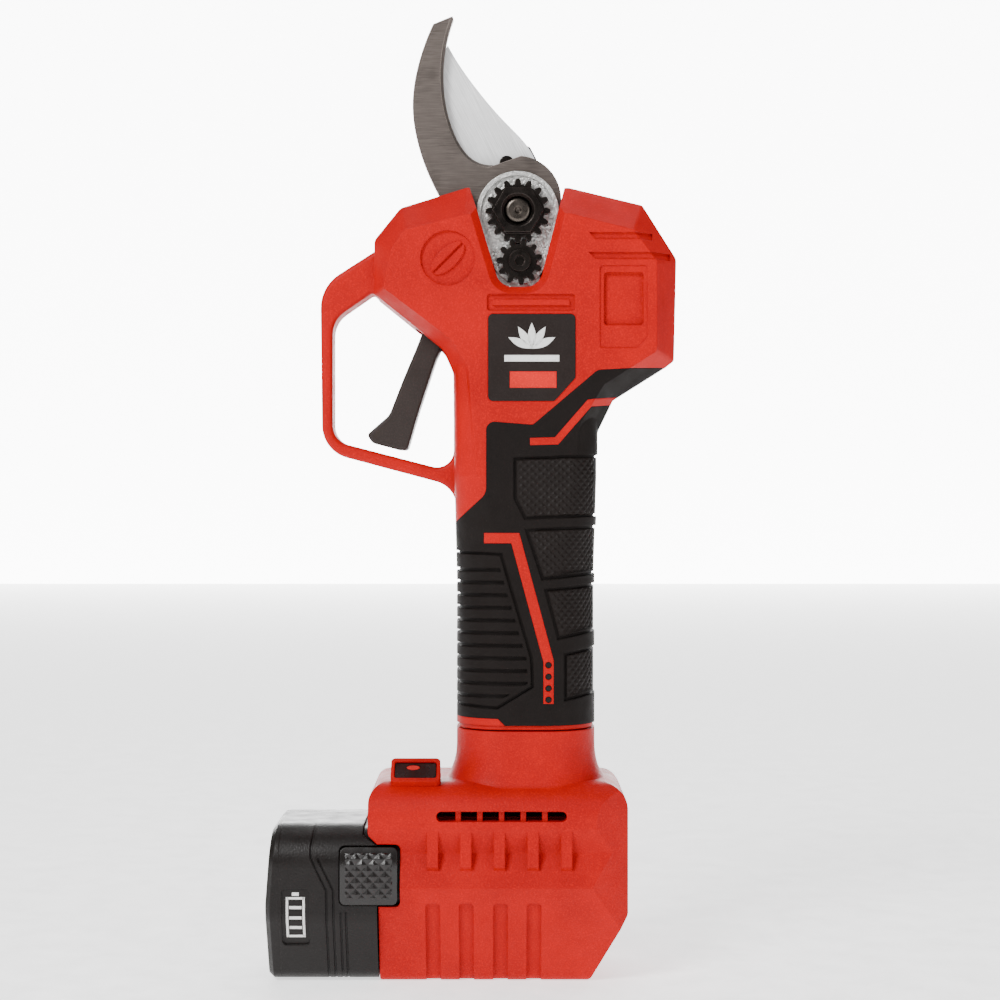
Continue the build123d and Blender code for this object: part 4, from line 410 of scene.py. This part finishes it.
# ---------------------------------------------------------------- materials of the CAD nodes
NODE_FINISH = {
    red_head: ["front_shell", "rear_shell"],
    red_base: ["base_front_shell", "base_rear_shell", "power_panel"],
    rubber: ["front_grip_sleeve", "rear_grip_sleeve"],
    badge_plate: ["front_badge", "rear_badge"],
    black_plastic: ["battery_case", "battery_end_cap", "motor_end_cap", "trigger_switch"],
    trigger_plastic: ["trigger"],
    gloss_black: ["power_button", "front_latch", "rear_latch"],
    light_pipe: ["level_leds"],
    cell_wrap: ["battery_cell_1", "battery_cell_2", "battery_cell_3"],
    board_green: ["control_board", "pack_board"],
    lead_red: ["motor_leads", "battery_leads"],
    hook_steel: ["hook_blade"],
    blade_steel: ["cutting_blade"],
    turned_steel: [
        "bevel_pinion",
        "cell_straps",
        "motor_can",
        "motor_rotor",
        "pinion_bearings",
        "pivot_washer",
        "planet_carrier",
        "planet_gear_1",
        "planet_gear_2",
        "planet_gear_3",
        "sun_gear",
        "trigger_pin",
        "trigger_spring",
    ],
    aluminium: ["cutter_seat", "gearbox_case"],
    bolt_steel: ["pivot_bolt"],
    black_oxide: [
        "base_screws",
        "drive_pin",
        "hook_screws",
        "housing_screws",
        "lock_gear",
        "lock_screw",
        "sector_gear",
        "toothed_nut",
    ],
    magnet: ["motor_magnets"],
    copper: ["battery_contacts", "battery_terminals"],
}
for finish, names in NODE_FINISH.items():
    for name in names:
        for material_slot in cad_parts[name].material_slots:
            material_slot.material = finish


# ---------------------------------------------------------------- pieces laid on a CAD surface
surfaces = {}


def surface_point(node, face, x, z):
    """Where a line along Y at (x, z), from the front or the back, first meets the CAD node."""
    if node not in surfaces:
        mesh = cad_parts[node].data
        corners = [vertex.co for vertex in mesh.vertices]
        surfaces[node] = BVHTree.FromPolygons(corners, [polygon.vertices for polygon in mesh.polygons])
    spot, normal, _, _ = surfaces[node].ray_cast(Vector((x, face, z)), Vector((0.0, -face, 0.0)))
    return spot, normal


def mesh_from(name, builder):
    mesh = bpy.data.meshes.new(name)
    builder.to_mesh(mesh)
    builder.free()
    return mesh


def piece_from(name, mesh, material, body):
    piece = bpy.data.objects.new(name, mesh)
    bpy.context.scene.collection.objects.link(piece)
    mesh.materials.append(material)
    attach(piece, body)
    return piece


def row_limits(corners, z):
    """The left and right x of a polygon at the height z."""
    crossings = []
    for (x0, z0), (x1, z1) in zip(corners, corners[1:] + corners[:1]):
        if min(z0, z1) <= z <= max(z0, z1) and z0 != z1:
            crossings.append(x0 + (x1 - x0) * (z - z0) / (z1 - z0))
    return min(crossings), max(crossings)


def triangle_wave(value, pitch):
    """0 in the grooves and 1 on the ridges between them."""
    return 1.0 - abs(2.0 * ((value / pitch) % 1.0) - 1.0)


def diamond_rows(builder, node, face, corners, pitch, height, step, squeeze):
    """Rows of points over a polygon of (x, z) on a CAD node, lifted into raised diamonds.

    step is the spacing of the points, and squeeze above 1 crowds the columns towards the right,
    where the surface turns away.
    """
    low = min(z for _, z in corners) + KNURL_MARGIN
    high = max(z for _, z in corners) - KNURL_MARGIN
    rows = round((high - low) / step)
    columns = round((max(x for x, _ in corners) - min(x for x, _ in corners)) / step)
    grid = []
    for row in range(rows + 1):
        z = low + (high - low) * row / rows
        left, right = row_limits(corners, z)
        left += KNURL_MARGIN
        right -= KNURL_MARGIN
        line = []
        run = left
        last = None
        for column in range(columns + 1):
            part = 1.0 - (1.0 - column / columns) ** squeeze
            spot, normal = surface_point(node, face, (left + (right - left) * part) * MM, z * MM)
            if last is not None:
                run += (spot - last).length / MM
            last = spot
            rim = min(row, rows - row, column, columns - column)
            lift = min(triangle_wave(run + z, pitch), triangle_wave(run - z, pitch)) * height
            lift *= min(rim / KNURL_RIM, 1.0)
            line.append(builder.verts.new(spot + normal * (KNURL_GAP + lift) * MM))
        grid.append(line)
    return grid


def knurled_skin(name, node, face, corners, diamonds, material, body):
    """A skin of raised diamonds over a polygon of a CAD node's surface."""
    builder = bmesh.new()
    grid = diamond_rows(builder, node, face, corners, **diamonds)
    for lower, upper in zip(grid, grid[1:]):
        for column in range(len(lower) - 1):
            ring = [lower[column], lower[column + 1], upper[column + 1], upper[column]]
            builder.faces.new(ring if face == FRONT else ring[::-1])
    return piece_from(name, mesh_from(name, builder), material, body)


def raised_mark(name, node, face, outlines, material, body):
    """Flat printed shapes, each an outline of (x, z), standing a little off a CAD surface."""
    builder = bmesh.new()
    for outline in outlines:
        bottom = []
        top = []
        for x, z in outline:
            spot, normal = surface_point(node, face, x * MM, z * MM)
            bottom.append(builder.verts.new(spot - normal * MARK_THICK * MM))
            top.append(builder.verts.new(spot + normal * MARK_THICK * MM))
        builder.faces.new(top)
        builder.faces.new(bottom[::-1])
        for index in range(len(outline)):
            after = (index + 1) % len(outline)
            builder.faces.new([bottom[index], bottom[after], top[after], top[index]])
    bmesh.ops.recalc_face_normals(builder, faces=builder.faces)
    return piece_from(name, mesh_from(name, builder), material, body)


def rectangle(x, z, wide, tall):
    return [
        (x - wide / 2, z - tall / 2),
        (x + wide / 2, z - tall / 2),
        (x + wide / 2, z + tall / 2),
        (x - wide / 2, z + tall / 2),
    ]


def ellipse(x, z, half_wide, half_tall):
    turns = [2.0 * math.pi * step / ELLIPSE_STEPS for step in range(ELLIPSE_STEPS)]
    return [(x + half_wide * math.cos(turn), z + half_tall * math.sin(turn)) for turn in turns]


def upright_bar(x, z, wide, tall):
    """A tall bar as a stack of short ones, so that it follows a surface that curves with height."""
    short = tall / BAR_PIECES
    return [rectangle(x, z - tall / 2 + short * (row + 0.5), wide, short) for row in range(BAR_PIECES)]


def leaf(x, z, turn, long, wide):
    """A pointed leaf that starts at (x, z) and leans turn degrees from upright."""
    points = []
    lean = math.radians(turn)
    for step in range(2 * LEAF_STEPS):
        side = 1.0 if step < LEAF_STEPS else -1.0
        part = step / LEAF_STEPS if side > 0 else 2.0 - step / LEAF_STEPS
        out = side * wide / 2 * math.sin(math.pi * part)
        up = long * part
        across = up * math.sin(lean) + out * math.cos(lean)
        rise = up * math.cos(lean) - out * math.sin(lean)
        points.append((x + across, z + rise))
    return points


def battery_sign():
    """A generic battery: three levels between two rails and two ends, with a pole on top."""
    levels = [rectangle(SIGN_X, SIGN_Z + lift, *SIGN_LEVEL) for lift in SIGN_LEVELS]
    left_rail = upright_bar(SIGN_X - SIGN_RAIL_X, SIGN_Z, *SIGN_RAIL)
    right_rail = upright_bar(SIGN_X + SIGN_RAIL_X, SIGN_Z, *SIGN_RAIL)
    ends = [rectangle(SIGN_X, SIGN_Z + lift, *SIGN_END) for lift in (-SIGN_END_Z, SIGN_END_Z)]
    pole = rectangle(SIGN_X, SIGN_Z + SIGN_POLE_Z, *SIGN_POLE)
    return levels + left_rail + right_rail + ends + [pole]


# ---------------------------------------------------------------- diamond skins of grip and latches
for face, side in SIDES:
    for number, pad in enumerate(PADS, 1):
        name = f"{side}_knurl_{number}"
        knurled_skin(name, f"{side}_grip_sleeve", face, pad, PAD_DIAMONDS, knurl, "housing")
    name = f"{side}_latch_hatch"
    latch = f"{side}_latch"
    knurled_skin(name, latch, face, LATCH_PAD, LATCH_DIAMONDS, gloss_black, latch)

# ---------------------------------------------------------------- plain generic marks
sprig = [leaf(*SPRIG_FOOT, turn, *SPRIG_LEAF) for turn in SPRIG_TURNS]
white_bar = [rectangle(*WHITE_BAR)]
red_bar = [rectangle(*RED_BAR)]
sign = battery_sign()
for face, side in SIDES:
    badge = f"{side}_badge"
    raised_mark(f"{side}_sprig", badge, face, sprig, print_white, "housing")
    raised_mark(f"{side}_white_bar", badge, face, white_bar, print_white, "housing")
    raised_mark(f"{side}_red_bar", badge, face, red_bar, print_red, "housing")
    name = f"{side}_battery_sign"
    raised_mark(name, "battery_case", face, sign, print_white, "battery")

# The small red light in the power button
power_light = [ellipse(*POWER_LIGHT)]
raised_mark("power_light", "power_button", FRONT, power_light, print_red, "button")


# ---------------------------------------------------------------- floor, wall, light and camera
def sheet(name, half, place, lean, glow):
    """A large flat sheet, leaning by lean degrees, that glows softly."""
    builder = bmesh.new()
    bmesh.ops.create_grid(builder, x_segments=SHEET_CELLS, y_segments=SHEET_CELLS, size=half)
    piece = bpy.data.objects.new(name, mesh_from(name, builder))
    piece.location = place
    piece.rotation_euler = (math.radians(lean), 0.0, 0.0)
    piece.data.materials.append(glowing(f"pale_{name}", glow))
    bpy.context.scene.collection.objects.link(piece)
    return piece


def area_light(name, place, size, power):
    """A square lamp that points at the middle of the object."""
    light = bpy.data.lights.new(name, "AREA")
    light.size = size
    light.energy = power
    lamp = bpy.data.objects.new(name, light)
    lamp.location = place
    lamp.rotation_euler = (Vector(MIDDLE) - Vector(place)).to_track_quat("-Z", "Y").to_euler()
    bpy.context.scene.collection.objects.link(lamp)


def pale_world():
    world = bpy.data.worlds.new("pale_world")
    world.use_nodes = True
    background = world.node_tree.nodes["Background"]
    background.inputs["Color"].default_value = WHITE
    background.inputs["Strength"].default_value = WORLD_GLOW
    bpy.context.scene.world = world


def front_camera():
    lens = bpy.data.cameras.new("camera")
    lens.lens = LENS
    lens.sensor_width = SENSOR
    camera = bpy.data.objects.new("camera", lens)
    camera.location = CAMERA
    camera.rotation_euler = (math.radians(90.0), 0.0, 0.0)
    bpy.context.scene.collection.objects.link(camera)
    bpy.context.scene.camera = camera


floor = sheet("floor", FLOOR_HALF, (0.0, 0.0, cad_box[0][2]), 0.0, FLOOR_GLOW)
wall = sheet("wall", WALL_HALF, (0.0, WALL_Y, 0.0), 90.0, WALL_GLOW)
area_light("key_light", **KEY)
area_light("fill_light", **FILL)
area_light("top_light", **TOP)
pale_world()
front_camera()
